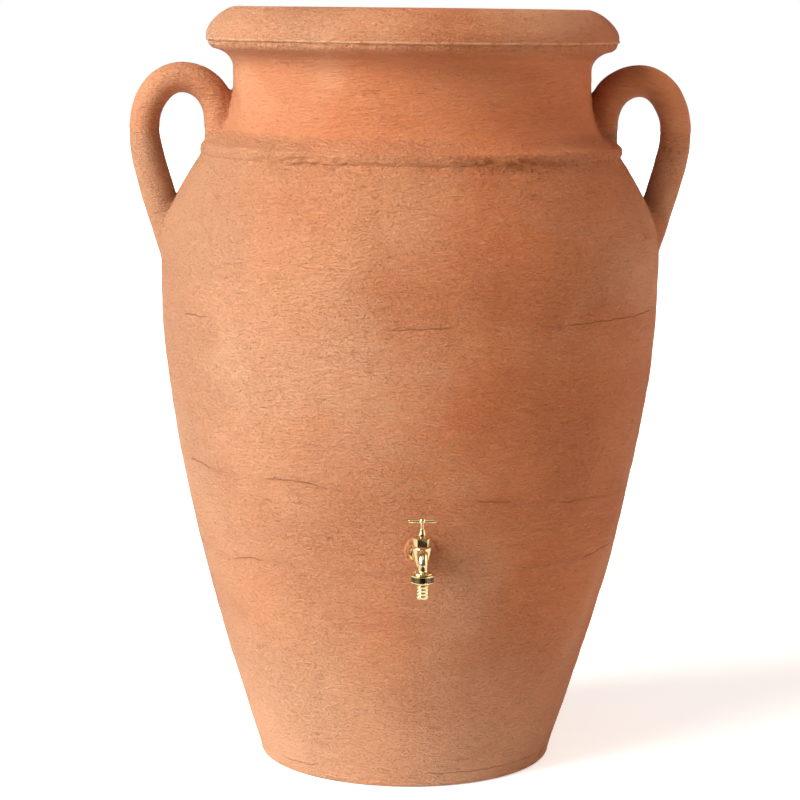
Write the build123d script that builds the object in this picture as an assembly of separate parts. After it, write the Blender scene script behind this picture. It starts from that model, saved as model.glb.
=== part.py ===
"""Amphora-shaped rain barrel with a drop-in lid and a brass draw-off tap.

The barrel is one hollow plastic moulding of about 360 litres: a flared belly on a small foot, a ridge
where the shoulder meets the neck, a rolled hollow rim, and two hollow loop handles moulded with the wall.
A brass threaded insert is moulded into a boss low on the front, and a screw-down bib tap with a hose
union is screwed into it. A lid with a turned knob drops into a rebate inside the rim.

Frame: +Z is up, the origin is the centre of the foot, the tap faces -Y, and the handles lie along X.
Everything is in millimetres.
"""

import os
from math import cos, radians

from build123d import *

# ---- barrel -----------------------------------------------------------------------------------------
WALL = 5.0  # moulded wall
SPLINE_STEPS = 12  # spans of the splines that draw the inside of the wall
FOOT_RADIUS = 223.0  # just above the rounded outer corner of the foot
FOOT_ROUND = 8.0
FOOT_RING = 60.0  # width of the flat ring that the barrel stands on
FOOT_PAD_RADIUS = 45.0  # flat pad in the middle of the base, level with the ring
FOOT_DISH = 7.0  # rise of the base between the pad and the ring
BELLY_RADIUS = 377.0
BELLY_HEIGHT = 765.0
FLANK_START = (7.0, 42.0)  # run and rise of the flank's control point above the foot
FLANK_FULLNESS = 338.0  # how far below the belly the flank's upper control point lies
RIDGE_RADIUS = 319.0  # crest of the ridge between shoulder and neck
RIDGE_HEIGHT = 933.0
RIDGE_ROUND = 7.0
SHOULDER_SLOPE = 0.62  # inward run per unit rise where the shoulder reaches the ridge
NECK_RADIUS = 269.0  # narrowest outside radius of the neck
NECK_WAIST_HEIGHT = 1050.0
RIM_RADIUS = 309.0
RIM_TOP = 1140.0  # overall height
RIM_BAND = 52.0  # from the underside of the rim to its top
RIM_CORNER = 47.0  # run of the rounded top corner of the rim, inwards from its widest
LID_SEAT_RADIUS = 246.0  # rebate inside the rim
LID_SEAT_DEPTH = 34.0
LEDGE_WIDTH = 24.0
SEAT_ROUND = 5.0

# ---- handles ----------------------------------------------------------------------------------------
HANDLE_OVERHANG = 48.0  # how far a handle stands out past the belly
HANDLE_THICK = 48.0  # across the loop
HANDLE_WIDE = 62.0  # front to back
HANDLE_RISE = 125.0  # top of the loop above the ridge
HANDLE_NECK_REACH = 18.0  # inner leg's middle line outside the waist of the neck
HANDLE_ROOT = 39.0  # height above the ridge up to which the inner leg follows the neck
HANDLE_CREST = 26.0  # highest point of the middle line outside the crest of the ridge
HANDLE_BROW = 25.0  # height above the ridge where the loop stands out furthest
HANDLE_BEND = 0.55  # fullness of the two bends of the loop
HANDLE_SLANT = 0.29  # inward run of the outer leg per unit drop where it reaches the belly
HANDLE_STRAIGHT = 0.42  # share of the outer leg that runs at that slant
HANDLE_TURN = 0.24  # share of the outer leg in which it turns to that slant
HANDLE_FOOT_REACH = 25.0  # lower end of the middle line inside the belly
HANDLE_FOOT = 4.0  # height above the belly of the leg's lower end

# ---- draw-off boss and insert -----------------------------------------------------------------------
TAP_HEIGHT = 380.0  # inlet axis above the ground
BOSS_RADIUS = 23.0
BOSS_STANDOFF = 12.0  # boss face in front of the wall at the height of the inlet axis
BOSS_LENGTH = 26.0
BOSS_ROUND = 3.0
INSERT_RADIUS = 16.0
INSERT_GROOVE = 2.0  # depth of the locking groove round the insert
INSERT_LENGTH = 24.0
THREAD_GAP = 0.1  # radial gap between two mating threads, which are drawn as plain cylinders

# ---- tap --------------------------------------------------------------------------------------------
INLET_THREAD_RADIUS = 10.0
INLET_THREAD_LENGTH = 18.0
INLET_BORE = 6.5
INLET_NECK_RADIUS = 9.5
INLET_PORT = 4.8  # bore of the last stretch, which runs low into the chamber
INLET_PORT_DROP = 5.5
SHOULDER_FLATS = 27.0
SHOULDER_THICK = 5.0
INLET_WASHER_THICK = 2.0
STEM_OFFSET = 34.0  # valve axis in front of the boss face
SPOUT_OFFSET = 59.0  # outlet axis in front of the boss face
CHAMBER_RADIUS = 13.8
CHAMBER_TOP = 15.0  # heights on the tap are above the inlet axis
CHAMBER_SHOULDER = 11.0
CHAMBER_BOTTOM = -14.0
CHAMBER_FOOT_RADIUS = 7.0
CHAMBER_BORE = 10.5
CHAMBER_LOWER_BORE = 8.6  # below the foot of the bonnet
CHAMBER_WALL = 3.0
CHAMBER_BULGE = 1.0  # of its tapering side, over a straight taper
SEAT_TOP = 2.5
SEAT_THICK = 3.0
SEAT_RADIUS = 6.0
SPOUT_RADIUS = 7.3
SPOUT_END_RADIUS = 6.2
SPOUT_BORE = 4.6
SPOUT_LINE = 7.5
SPOUT_BEND = 16.0
OUTLET_FLANGE_RADIUS = 14.0
OUTLET_FLANGE_THICK = 2.5
OUTLET_TOP = -16.0
OUTLET_THREAD_RADIUS = 12.6
OUTLET_THREAD_LENGTH = 7.0

# ---- headgear ---------------------------------------------------------------------------------------
GASKET_THICK = 1.5
BONNET_FLATS = 24.0
BONNET_HEIGHT = 12.5
BONNET_SPIGOT = 4.9
SPIGOT_GAP = 0.2  # under the end of the spigot
BONNET_CHAMFER = 1.6
SPINDLE_RADIUS = 2.5
SPINDLE_THREAD_RADIUS = 4.0
SPINDLE_THREAD_LENGTH = 10.0
RUNNING_GAP = 0.05  # radial or end gap of what turns or slides
STUFFING_RADIUS = 4.8
STUFFING_DEPTH = 6.0
STUFFING_FLOOR = 1.2
PACKING_HEIGHT = 3.0
GLAND_FLATS = 10.0
GLAND_HEX = 4.0
GLAND_HEAD = 11.0
GLAND_TOP_RADIUS = 3.8
GLAND_STANDOFF = 0.6
CRUTCH_HEIGHT = 52.0  # centre of the crutch handle
CRUTCH_HUB_RADIUS = 4.7
CRUTCH_LENGTH = 38.0
CRUTCH_END_RADIUS = 3.1
CRUTCH_ROOT_RADIUS = 2.2
TANG_SIDE = 3.4
TANG_LENGTH = 6.0
GRUB_RADIUS = 1.25
GRUB_LENGTH = 2.6
GRUB_SOCKET = 0.7

# ---- jumper -----------------------------------------------------------------------------------------
JUMPER_RADIUS = 6.4
JUMPER_THICK = 2.0
JUMPER_STEM_RADIUS = 2.0
JUMPER_STEM_LENGTH = 7.0
JUMPER_STUD_RADIUS = 1.5
JUMPER_WASHER_RADIUS = 6.9
JUMPER_WASHER_THICK = 2.5
JUMPER_NUT_FLATS = 5.5
JUMPER_NUT_THICK = 2.0

# ---- hose union -------------------------------------------------------------------------------------
UNION_RADIUS = 16.0
UNION_LIP_RADIUS = 17.0
UNION_LIP_THICK = 1.4
UNION_FLUTES = 40
UNION_FLUTE_RADIUS = 0.7
UNION_BOTTOM = 2.2  # thickness of the flange that draws the tail up
UNION_CHAMFER = 2.6
UNION_WASHER_THICK = 2.0
UNION_CLEARANCE = 0.3
COLLAR_RADIUS = 11.6
COLLAR_THICK = 2.5
TAIL_NECK_RADIUS = 8.6
TAIL_NECK_LENGTH = 4.0
TAIL_BARB_RADIUS = 9.0
TAIL_ROOT_RADIUS = 7.9
TAIL_BARBS = 4
TAIL_BARB_PITCH = 4.8
TAIL_BARB_LAND = 1.6
TAIL_BORE = 6.2

# ---- lid --------------------------------------------------------------------------------------------
LID_GAP = 2.0  # all round, in the rebate and in the mouth
LID_WALL = 4.0
LID_CROWN = 5.0  # rise of the middle of the lid above its edge
LID_SKIRT_DEPTH = 22.0
LID_RIBS = 8
LID_RIB_DEPTH = 12.0
LID_RIB_THICK = 3.0
KNOB_SEAT_RADIUS = 34.0  # flat in the middle of the lid
KNOB_RADIUS = 24.0
KNOB_STEM_RADIUS = 12.0
KNOB_HEIGHT = 24.0
KNOB_CAP = 8.0
SCREW_RADIUS = 3.0
SCREW_HOLE_GAP = 0.4
SCREW_HEAD_RADIUS = 6.0
SCREW_HEAD_THICK = 3.5
SCREW_LENGTH = 18.0
SCREW_SLOT = 1.2
SCREW_WASHER_RADIUS = 9.0
SCREW_WASHER_THICK = 1.6


def flank_line() -> Bezier:
    """Flank of the barrel, from the rounded corner of the foot up to the belly."""
    return Bezier(
        (FOOT_RADIUS, FOOT_ROUND),
        (FOOT_RADIUS + FLANK_START[0], FOOT_ROUND + FLANK_START[1]),
        (BELLY_RADIUS, BELLY_HEIGHT - FLANK_FULLNESS),
        (BELLY_RADIUS, BELLY_HEIGHT),
    )


def flank_radius(height: float) -> float:
    """Outside radius of the flank at a height, found by halving."""
    line = flank_line()
    low, high = 0.0, 1.0
    for _ in range(40):
        middle = (low + high) / 2
        if (line @ middle).Y < height:
            low = middle
        else:
            high = middle
    return (line @ low).X


# ---- places that follow from the sizes --------------------------------------------------------------
BOSS_FACE = flank_radius(TAP_HEIGHT) + BOSS_STANDOFF  # distance of the boss face from the barrel axis
LEDGE_TOP = RIM_TOP - LID_SEAT_DEPTH
OPENING_RADIUS = LID_SEAT_RADIUS - LEDGE_WIDTH
SHOULDER_FACE = BOSS_FACE + INLET_WASHER_THICK
SEAT_UNDERSIDE = SEAT_TOP - SEAT_THICK
BONNET_SEAT = CHAMBER_TOP + GASKET_THICK
BONNET_TOP = BONNET_SEAT + BONNET_HEIGHT
SPIGOT_END = BONNET_SEAT - BONNET_SPIGOT
STUFFING_BASE = BONNET_TOP - STUFFING_DEPTH
GLAND_BASE = BONNET_TOP + GLAND_STANDOFF
TANG_BASE = CRUTCH_HEIGHT - 0.9 * CRUTCH_HUB_RADIUS
JUMPER_BASE = SEAT_TOP + JUMPER_WASHER_THICK
SPINDLE_BASE = JUMPER_BASE + JUMPER_THICK + RUNNING_GAP
OUTLET_SHOULDER = OUTLET_TOP - OUTLET_FLANGE_THICK
OUTLET_END = OUTLET_SHOULDER - OUTLET_THREAD_LENGTH
COLLAR_TOP = OUTLET_END - UNION_WASHER_THICK
COLLAR_BASE = COLLAR_TOP - COLLAR_THICK
UNION_TOP = OUTLET_SHOULDER - UNION_CLEARANCE
UNION_BASE = COLLAR_BASE - UNION_BOTTOM
TAIL_TOP = COLLAR_BASE - TAIL_NECK_LENGTH
TAIL_END = TAIL_TOP - TAIL_BARBS * TAIL_BARB_PITCH
LID_TOP = LEDGE_TOP + LID_WALL + LID_CROWN
VALVE_AXIS = Pos(0, -(BOSS_FACE + STEM_OFFSET), TAP_HEIGHT)
SPOUT_AXIS = Pos(0, -(BOSS_FACE + SPOUT_OFFSET), TAP_HEIGHT)
INLET_AXIS = Pos(0, 0, TAP_HEIGHT) * Rot(90, 0, 0)  # its height is the distance in front of the barrel axis


def turned(*lines) -> Part:
    """Solid turned about Z from lines drawn with x as radius and y as height; open ends are joined."""
    edges = [edge for line in lines for edge in line.edges()]
    path = Wire(edges)
    if not path.is_closed:
        edges.append(Line(path @ 1, path @ 0))
    return revolve(Plane.XZ * make_face(edges), Axis.Z, 360)


def spun(*corners: tuple) -> Part:
    """Solid turned about Z from a closed run of (radius, height) corners."""
    return turned(Polyline(*corners, close=True))


def tube(outer: float, inner: float, low: float, high: float) -> Part:
    """Plain ring between two heights."""
    return spun((inner, low), (outer, low), (outer, high), (inner, high))


def rod(radius: float, low: float, high: float) -> Part:
    """Plain round bar between two heights."""
    return Pos(0, 0, low) * Cylinder(radius, high - low, align=(Align.CENTER, Align.CENTER, Align.MIN))


def hexagon(flats: float, low: float, high: float) -> Part:
    """Hexagonal bar across the given flats, with one flat facing -Y."""
    face = RegularPolygon(flats / 2, 6, major_radius=False, rotation=30)
    return Pos(0, 0, low) * extrude(face, high - low)


def chamfered_hexagon(flats: float, low: float, high: float, chamfer: float) -> Part:
    """Hexagonal bar whose top corners are turned off."""
    corner = flats / 2 / cos(radians(30))
    cone = spun((0, low), (corner, low), (corner, high - chamfer), (flats / 2 - 0.3, high), (0, high))
    return hexagon(flats, low, high) & cone


def outer_line() -> list:
    """Outside of the barrel, from the middle of the base up and over the rim to the edge of the mouth."""
    ring_inner = FOOT_RADIUS - FOOT_ROUND - FOOT_RING
    base = Polyline(
        (0, 0), (FOOT_PAD_RADIUS, 0), (FOOT_PAD_RADIUS + FOOT_DISH, FOOT_DISH),
        (ring_inner - FOOT_DISH, FOOT_DISH), (ring_inner, 0), (FOOT_RADIUS - FOOT_ROUND, 0),
    )
    flank = flank_line()
    heel = TangentArc((FOOT_RADIUS - FOOT_ROUND, 0), flank @ 0, tangent=(1, 0))
    ridge_low = (RIDGE_RADIUS - 0.3 * RIDGE_ROUND, RIDGE_HEIGHT - 1.6 * RIDGE_ROUND)
    ridge_top = (RIDGE_RADIUS - RIDGE_ROUND, RIDGE_HEIGHT + RIDGE_ROUND)
    rise = ridge_low[1] - BELLY_HEIGHT
    shoulder = Bezier(
        (BELLY_RADIUS, BELLY_HEIGHT),
        (BELLY_RADIUS, BELLY_HEIGHT + 0.38 * rise),
        (ridge_low[0] + 0.32 * rise * SHOULDER_SLOPE, ridge_low[1] - 0.32 * rise),
        ridge_low,
    )
    ridge = ThreePointArc(ridge_low, (RIDGE_RADIUS, RIDGE_HEIGHT), ridge_top)
    cove_low = (NECK_RADIUS, NECK_WAIST_HEIGHT)
    climb = NECK_WAIST_HEIGHT - ridge_top[1]
    neck = Bezier(
        ridge_top,
        (NECK_RADIUS + 0.32 * (ridge_top[0] - NECK_RADIUS), ridge_top[1] + 0.05 * climb),
        (NECK_RADIUS, NECK_WAIST_HEIGHT - 0.7 * climb),
        cove_low,
    )
    lip = (RIM_RADIUS - 3, RIM_TOP - RIM_BAND)
    cove = Bezier(
        cove_low,
        (NECK_RADIUS, lip[1] - 0.7 * (lip[1] - cove_low[1])),
        (NECK_RADIUS + 0.38 * (lip[0] - NECK_RADIUS), lip[1] - 5),
        lip,
    )
    widest = (RIM_RADIUS, lip[1] + 9)
    band = Line(lip, widest)
    crown = (RIM_RADIUS - RIM_CORNER, RIM_TOP)
    corner = Bezier(
        widest,
        (RIM_RADIUS, RIM_TOP - 0.55 * (RIM_TOP - widest[1])),
        (crown[0] + 0.35 * RIM_CORNER, RIM_TOP),
        crown,
    )
    seat_top = (LID_SEAT_RADIUS, RIM_TOP - SEAT_ROUND)
    top = Line(crown, (LID_SEAT_RADIUS + SEAT_ROUND, RIM_TOP))
    inner_corner = TangentArc(top @ 1, seat_top, tangent=(-1, 0))
    seat = Polyline(seat_top, (LID_SEAT_RADIUS, LEDGE_TOP), (OPENING_RADIUS, LEDGE_TOP))
    return [*base.edges(), heel, flank, shoulder, ridge, neck, cove, band, corner, top, inner_corner,
            *seat.edges()]


def closed_in(path: Wire) -> Part:
    """Solid turned about Z from an open line that starts on the axis and whose upper end is joined to it."""
    low, high = sorted([path @ 0, path @ 1], key=lambda end: end.Y)
    return turned(path, Polyline(high, (0, high.Y), (0, low.Y)))


def inner_line(outer: Wire) -> Wire:
    """Inside of the wall: the outer line moved in by the wall, with plain splines for its curved stretches."""
    moved = outer.offset_2d(WALL, kind=Kind.ARC, side=Side.LEFT, closed=False)
    edges = []
    for edge in moved.edges():
        if edge.geom_type in (GeomType.LINE, GeomType.CIRCLE):
            edges.append(edge)
            continue
        points = [edge @ (step / SPLINE_STEPS) for step in range(SPLINE_STEPS + 1)]
        edges.append(Spline(*points, tangents=[edge % 0, edge % 1]))
    return Wire(edges)


def handle_line() -> Wire:
    """Middle line of the right handle: up the neck, out over the top and down into the shoulder."""
    half = HANDLE_THICK / 2
    start = Vector(NECK_RADIUS + HANDLE_NECK_REACH, RIDGE_HEIGHT - half)
    root = Vector(start.X, RIDGE_HEIGHT + HANDLE_ROOT)
    top = Vector(RIDGE_RADIUS + HANDLE_CREST, RIDGE_HEIGHT + HANDLE_RISE - half)
    brow = Vector(BELLY_RADIUS + HANDLE_OVERHANG - half, RIDGE_HEIGHT + HANDLE_BROW)
    foot = Vector(BELLY_RADIUS - HANDLE_FOOT_REACH, BELLY_HEIGHT + HANDLE_FOOT)
    drop = brow.Y - foot.Y
    leg = HANDLE_STRAIGHT * drop
    edges = [
        Line(start, root),
        Bezier(root, root + Vector(0, HANDLE_BEND * (top.Y - root.Y)),
               top - Vector(HANDLE_BEND * (top.X - root.X), 0), top),
        Bezier(top, top + Vector(HANDLE_BEND * (brow.X - top.X), 0),
               brow + Vector(0, HANDLE_BEND * (top.Y - brow.Y)), brow),
        Bezier(brow, brow - Vector(0, HANDLE_TURN * drop), foot + Vector(HANDLE_SLANT * leg, leg), foot),
    ]
    return Plane.XZ * Wire(edges)


def handle_bar(shrink: float) -> Part:
    """One handle as an oval bar along its middle line, thinner all round by the given amount."""
    path = handle_line()
    section = Ellipse(HANDLE_THICK / 2 - shrink, HANDLE_WIDE / 2 - shrink)
    plane = Plane(origin=path @ 0, x_dir=(1, 0, 0), z_dir=path % 0)
    return sweep(plane * section, path=path)


def both_sides(solid: Part) -> Part:
    """The solid and its mirror image across the middle plane."""
    return solid + mirror(solid, Plane.YZ)


def insert_blank() -> Part:
    """Outside of the threaded insert, with its locking groove."""
    third = INSERT_LENGTH / 3
    face = BOSS_FACE
    low = face - INSERT_LENGTH
    waist = INSERT_RADIUS - INSERT_GROOVE
    return INLET_AXIS * spun(
        (0, low), (INSERT_RADIUS, low), (INSERT_RADIUS, low + third), (waist, low + third),
        (waist, face - third), (INSERT_RADIUS, face - third), (INSERT_RADIUS, face), (0, face),
    )


def make_barrel() -> Part:
    """The whole plastic moulding."""
    line = Wire(outer_line())
    outside = closed_in(line)
    inside = closed_in(inner_line(line))
    boss = INLET_AXIS * rod(BOSS_RADIUS, BOSS_FACE - BOSS_LENGTH, BOSS_FACE)
    boss = fillet(boss.edges().filter_by(GeomType.CIRCLE).sort_by(Axis.Y)[0], BOSS_ROUND)
    hollow = inside + both_sides(handle_bar(WALL))
    shell = outside + both_sides(handle_bar(0)) - hollow
    mouth = rod(OPENING_RADIUS, LEDGE_TOP - 2 * WALL, RIM_TOP)
    bore = INLET_AXIS * rod(INLET_THREAD_RADIUS, BOSS_FACE - BOSS_LENGTH, BOSS_FACE)
    return shell - mouth + boss - insert_blank() - bore


def make_insert() -> Part:
    """Brass insert moulded into the boss."""
    bore = INLET_AXIS * rod(INLET_THREAD_RADIUS + THREAD_GAP, BOSS_FACE - INSERT_LENGTH, BOSS_FACE)
    return insert_blank() - bore


def make_inlet_washer() -> Part:
    """Sealing ring between the boss face and the shoulder of the tap."""
    return INLET_AXIS * tube(SHOULDER_FLATS / 2, INLET_THREAD_RADIUS + 2 * THREAD_GAP, BOSS_FACE, SHOULDER_FACE)


def spout_path() -> Wire:
    """Middle line of the spout, from the valve axis forwards and down to the outlet."""
    reach = SPOUT_OFFSET - STEM_OFFSET
    corners = [(0, SPOUT_LINE), (-reach, SPOUT_LINE), (-reach, OUTLET_TOP)]
    path = FilletPolyline(*corners, radius=SPOUT_BEND)
    return VALVE_AXIS * (Plane.YZ * path.wire())


def spout_bar(start_radius: float, end_radius: float) -> Part:
    """Tapering round bar along the spout."""
    path = spout_path()
    first = Plane(origin=path @ 0, z_dir=path % 0) * Circle(start_radius)
    last = Plane(origin=path @ 1, z_dir=path % 1) * Circle(end_radius)
    return sweep([first, last], path=path, multisection=True)


def chamber_blank() -> Part:
    """Outside of the valve chamber: a straight upper part over a tapering bowl."""
    middle = (0.5 * (CHAMBER_FOOT_RADIUS + CHAMBER_RADIUS) + CHAMBER_BULGE,
              0.5 * (CHAMBER_BOTTOM + CHAMBER_SHOULDER))
    return VALVE_AXIS * turned(
        Line((0, CHAMBER_BOTTOM), (CHAMBER_FOOT_RADIUS, CHAMBER_BOTTOM)),
        ThreePointArc((CHAMBER_FOOT_RADIUS, CHAMBER_BOTTOM), middle, (CHAMBER_RADIUS, CHAMBER_SHOULDER)),
        Line((CHAMBER_RADIUS, CHAMBER_SHOULDER), (CHAMBER_RADIUS, CHAMBER_TOP)),
        Line((CHAMBER_RADIUS, CHAMBER_TOP), (0, CHAMBER_TOP)),
    )


def make_tap_body() -> Part:
    """Tap casting: inlet thread, hexagonal shoulder, valve chamber, spout and outlet thread."""
    valve = BOSS_FACE + STEM_OFFSET
    neck_end = SHOULDER_FACE + SHOULDER_THICK
    inlet = rod(INLET_THREAD_RADIUS, SHOULDER_FACE - INLET_THREAD_LENGTH, SHOULDER_FACE)
    inlet += hexagon(SHOULDER_FLATS, SHOULDER_FACE, neck_end)
    inlet += rod(INLET_NECK_RADIUS, neck_end, valve)
    outlet = rod(OUTLET_FLANGE_RADIUS, OUTLET_SHOULDER, OUTLET_TOP)
    outlet += rod(OUTLET_THREAD_RADIUS, OUTLET_END, OUTLET_SHOULDER)
    body = INLET_AXIS * inlet + chamber_blank() + spout_bar(SPOUT_RADIUS, SPOUT_END_RADIUS)
    body += SPOUT_AXIS * outlet
    lower_top = CHAMBER_LOWER_BORE - 1
    lower_foot = CHAMBER_FOOT_RADIUS - 0.6 * CHAMBER_WALL
    lower = spun((0, CHAMBER_BOTTOM + CHAMBER_WALL), (lower_foot, CHAMBER_BOTTOM + CHAMBER_WALL),
                 (lower_top, SEAT_UNDERSIDE), (0, SEAT_UNDERSIDE))
    cavity = rod(CHAMBER_BORE, SPIGOT_END - SPIGOT_GAP, CHAMBER_TOP)
    cavity += rod(CHAMBER_LOWER_BORE, SEAT_TOP, SPIGOT_END) + rod(SEAT_RADIUS, SEAT_UNDERSIDE, SEAT_TOP) + lower
    waterway = INLET_AXIS * rod(INLET_BORE, SHOULDER_FACE - INLET_THREAD_LENGTH, neck_end)
    waterway += INLET_AXIS * Pos(0, -INLET_PORT_DROP, 0) * rod(INLET_PORT, neck_end - INLET_PORT / 2, valve)
    waterway += spout_bar(SPOUT_BORE, SPOUT_BORE)
    waterway += SPOUT_AXIS * rod(SPOUT_BORE, OUTLET_END, OUTLET_TOP)
    return body - VALVE_AXIS * cavity - waterway


def make_bonnet_washer() -> Part:
    """Fibre washer under the bonnet."""
    return VALVE_AXIS * tube(CHAMBER_RADIUS - 1, CHAMBER_BORE, CHAMBER_TOP, BONNET_SEAT)


def make_bonnet() -> Part:
    """Hexagonal headpiece that carries the spindle thread and the stuffing box."""
    low = SPIGOT_END
    bonnet = chamfered_hexagon(BONNET_FLATS, BONNET_SEAT, BONNET_TOP, BONNET_CHAMFER)
    bonnet += rod(CHAMBER_BORE - THREAD_GAP, low, BONNET_SEAT)
    bonnet -= rod(SPINDLE_THREAD_RADIUS + THREAD_GAP, low, STUFFING_BASE - STUFFING_FLOOR)
    bonnet -= rod(SPINDLE_RADIUS + RUNNING_GAP, low, BONNET_TOP)
    return VALVE_AXIS * (bonnet - rod(STUFFING_RADIUS, STUFFING_BASE, BONNET_TOP))


def make_packing_ring() -> Part:
    """Packing round the spindle at the bottom of the stuffing box."""
    return VALVE_AXIS * tube(STUFFING_RADIUS, SPINDLE_RADIUS + RUNNING_GAP, STUFFING_BASE,
                             STUFFING_BASE + PACKING_HEIGHT)


def make_packing_nut() -> Part:
    """Gland nut with a hexagonal foot and a conical top."""
    bore = SPINDLE_RADIUS + RUNNING_GAP
    hex_top = GLAND_BASE + GLAND_HEX
    top = GLAND_BASE + GLAND_HEAD
    nut = rod(STUFFING_RADIUS - THREAD_GAP, STUFFING_BASE + PACKING_HEIGHT, GLAND_BASE)
    nut += hexagon(GLAND_FLATS, GLAND_BASE, hex_top)
    nut += spun((0, hex_top), (GLAND_FLATS / 2, hex_top), (GLAND_TOP_RADIUS, top), (0, top))
    return VALVE_AXIS * (nut - rod(bore, STUFFING_BASE, top))


def make_spindle() -> Part:
    """Turned spindle: threaded foot, plain stem and square tang."""
    thread_top = SPINDLE_BASE + SPINDLE_THREAD_LENGTH
    spindle = rod(SPINDLE_THREAD_RADIUS, SPINDLE_BASE, thread_top) + rod(SPINDLE_RADIUS, thread_top, TANG_BASE)
    spindle += Pos(0, 0, TANG_BASE) * extrude(Rectangle(TANG_SIDE, TANG_SIDE), TANG_LENGTH)
    socket = rod(JUMPER_STEM_RADIUS + RUNNING_GAP, SPINDLE_BASE, SPINDLE_BASE + JUMPER_STEM_LENGTH + 1)
    return VALVE_AXIS * (spindle - socket)


def make_crutch_handle() -> Part:
    """Crutch handle: a round hub with a bar flaring towards each end."""
    half = CRUTCH_LENGTH / 2
    bar = spun((0, -half), (CRUTCH_END_RADIUS, -half), (CRUTCH_ROOT_RADIUS, -CRUTCH_HUB_RADIUS),
               (CRUTCH_ROOT_RADIUS, CRUTCH_HUB_RADIUS), (CRUTCH_END_RADIUS, half), (0, half))
    handle = Rot(0, 90, 0) * bar + Sphere(CRUTCH_HUB_RADIUS)
    handle -= rod(CRUTCH_HUB_RADIUS, TANG_BASE - CRUTCH_HEIGHT - CRUTCH_HUB_RADIUS, TANG_BASE - CRUTCH_HEIGHT)
    seat = extrude(Rectangle(TANG_SIDE, TANG_SIDE), TANG_LENGTH)
    handle -= Pos(0, 0, TANG_BASE - CRUTCH_HEIGHT) * seat
    handle -= Rot(-90, 0, 0) * rod(GRUB_RADIUS, TANG_SIDE / 2, CRUTCH_HUB_RADIUS)
    return VALVE_AXIS * Pos(0, 0, CRUTCH_HEIGHT) * handle


def make_grub_screw() -> Part:
    """Grub screw that locks the crutch handle to the tang, from behind."""
    low = TANG_SIDE / 2
    screw = rod(GRUB_RADIUS, low, low + GRUB_LENGTH) - hexagon(2 * GRUB_SOCKET, low + 1, low + GRUB_LENGTH)
    return VALVE_AXIS * Pos(0, 0, CRUTCH_HEIGHT) * Rot(-90, 0, 0) * screw


def make_jumper() -> Part:
    """Jumper: a disc with a stem that turns freely in the spindle, and a stud for the washer."""
    stud_end = SEAT_TOP - JUMPER_NUT_THICK - 0.5
    jumper = rod(JUMPER_RADIUS, JUMPER_BASE, JUMPER_BASE + JUMPER_THICK)
    jumper += rod(JUMPER_STEM_RADIUS, JUMPER_BASE, JUMPER_BASE + JUMPER_THICK + JUMPER_STEM_LENGTH)
    return VALVE_AXIS * (jumper + rod(JUMPER_STUD_RADIUS, stud_end, JUMPER_BASE))


def make_jumper_washer() -> Part:
    """Rubber washer that shuts on the seat."""
    return VALVE_AXIS * tube(JUMPER_WASHER_RADIUS, JUMPER_STUD_RADIUS, SEAT_TOP, JUMPER_BASE)


def make_jumper_nut() -> Part:
    """Small nut that holds the washer on the jumper."""
    nut = hexagon(JUMPER_NUT_FLATS, SEAT_TOP - JUMPER_NUT_THICK, SEAT_TOP)
    return VALVE_AXIS * (nut - rod(JUMPER_STUD_RADIUS, SEAT_TOP - JUMPER_NUT_THICK, SEAT_TOP))


def make_union_nut() -> Part:
    """Knurled union nut with a thin lip at its top."""
    grip_top = UNION_TOP - UNION_LIP_THICK
    grip_end = UNION_BASE + UNION_CHAMFER
    foot = UNION_RADIUS - UNION_CHAMFER
    bore = OUTLET_THREAD_RADIUS + THREAD_GAP
    hole = TAIL_NECK_RADIUS + UNION_CLEARANCE
    nut = spun((hole, UNION_BASE), (foot, UNION_BASE), (UNION_RADIUS, grip_end), (UNION_RADIUS, grip_top),
               (UNION_LIP_RADIUS, grip_top), (UNION_LIP_RADIUS, UNION_TOP), (bore, UNION_TOP),
               (bore, COLLAR_BASE), (hole, COLLAR_BASE))
    flute = rod(UNION_FLUTE_RADIUS, grip_end, grip_top)
    flutes = PolarLocations(UNION_RADIUS, UNION_FLUTES) * flute
    return SPOUT_AXIS * (nut - flutes)


def make_union_washer() -> Part:
    """Flat washer between the outlet and the hose tail."""
    return SPOUT_AXIS * tube(COLLAR_RADIUS, TAIL_BORE, COLLAR_TOP, OUTLET_END)


def make_hose_tail() -> Part:
    """Barbed hose tail with the collar that the union nut draws up."""
    outline = [(TAIL_BORE, TAIL_END)]
    for barb in range(TAIL_BARBS):
        low = TAIL_END + barb * TAIL_BARB_PITCH
        high = low + TAIL_BARB_PITCH
        outline += [(TAIL_ROOT_RADIUS, low), (TAIL_BARB_RADIUS, high - TAIL_BARB_LAND),
                    (TAIL_BARB_RADIUS, high), (TAIL_ROOT_RADIUS, high)]
    outline = [point for place, point in enumerate(outline) if place == 0 or point != outline[place - 1]]
    outline += [(TAIL_NECK_RADIUS, TAIL_TOP), (TAIL_NECK_RADIUS, COLLAR_BASE), (COLLAR_RADIUS, COLLAR_BASE),
                (COLLAR_RADIUS, COLLAR_TOP), (TAIL_BORE, COLLAR_TOP)]
    return SPOUT_AXIS * spun(*outline)


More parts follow.
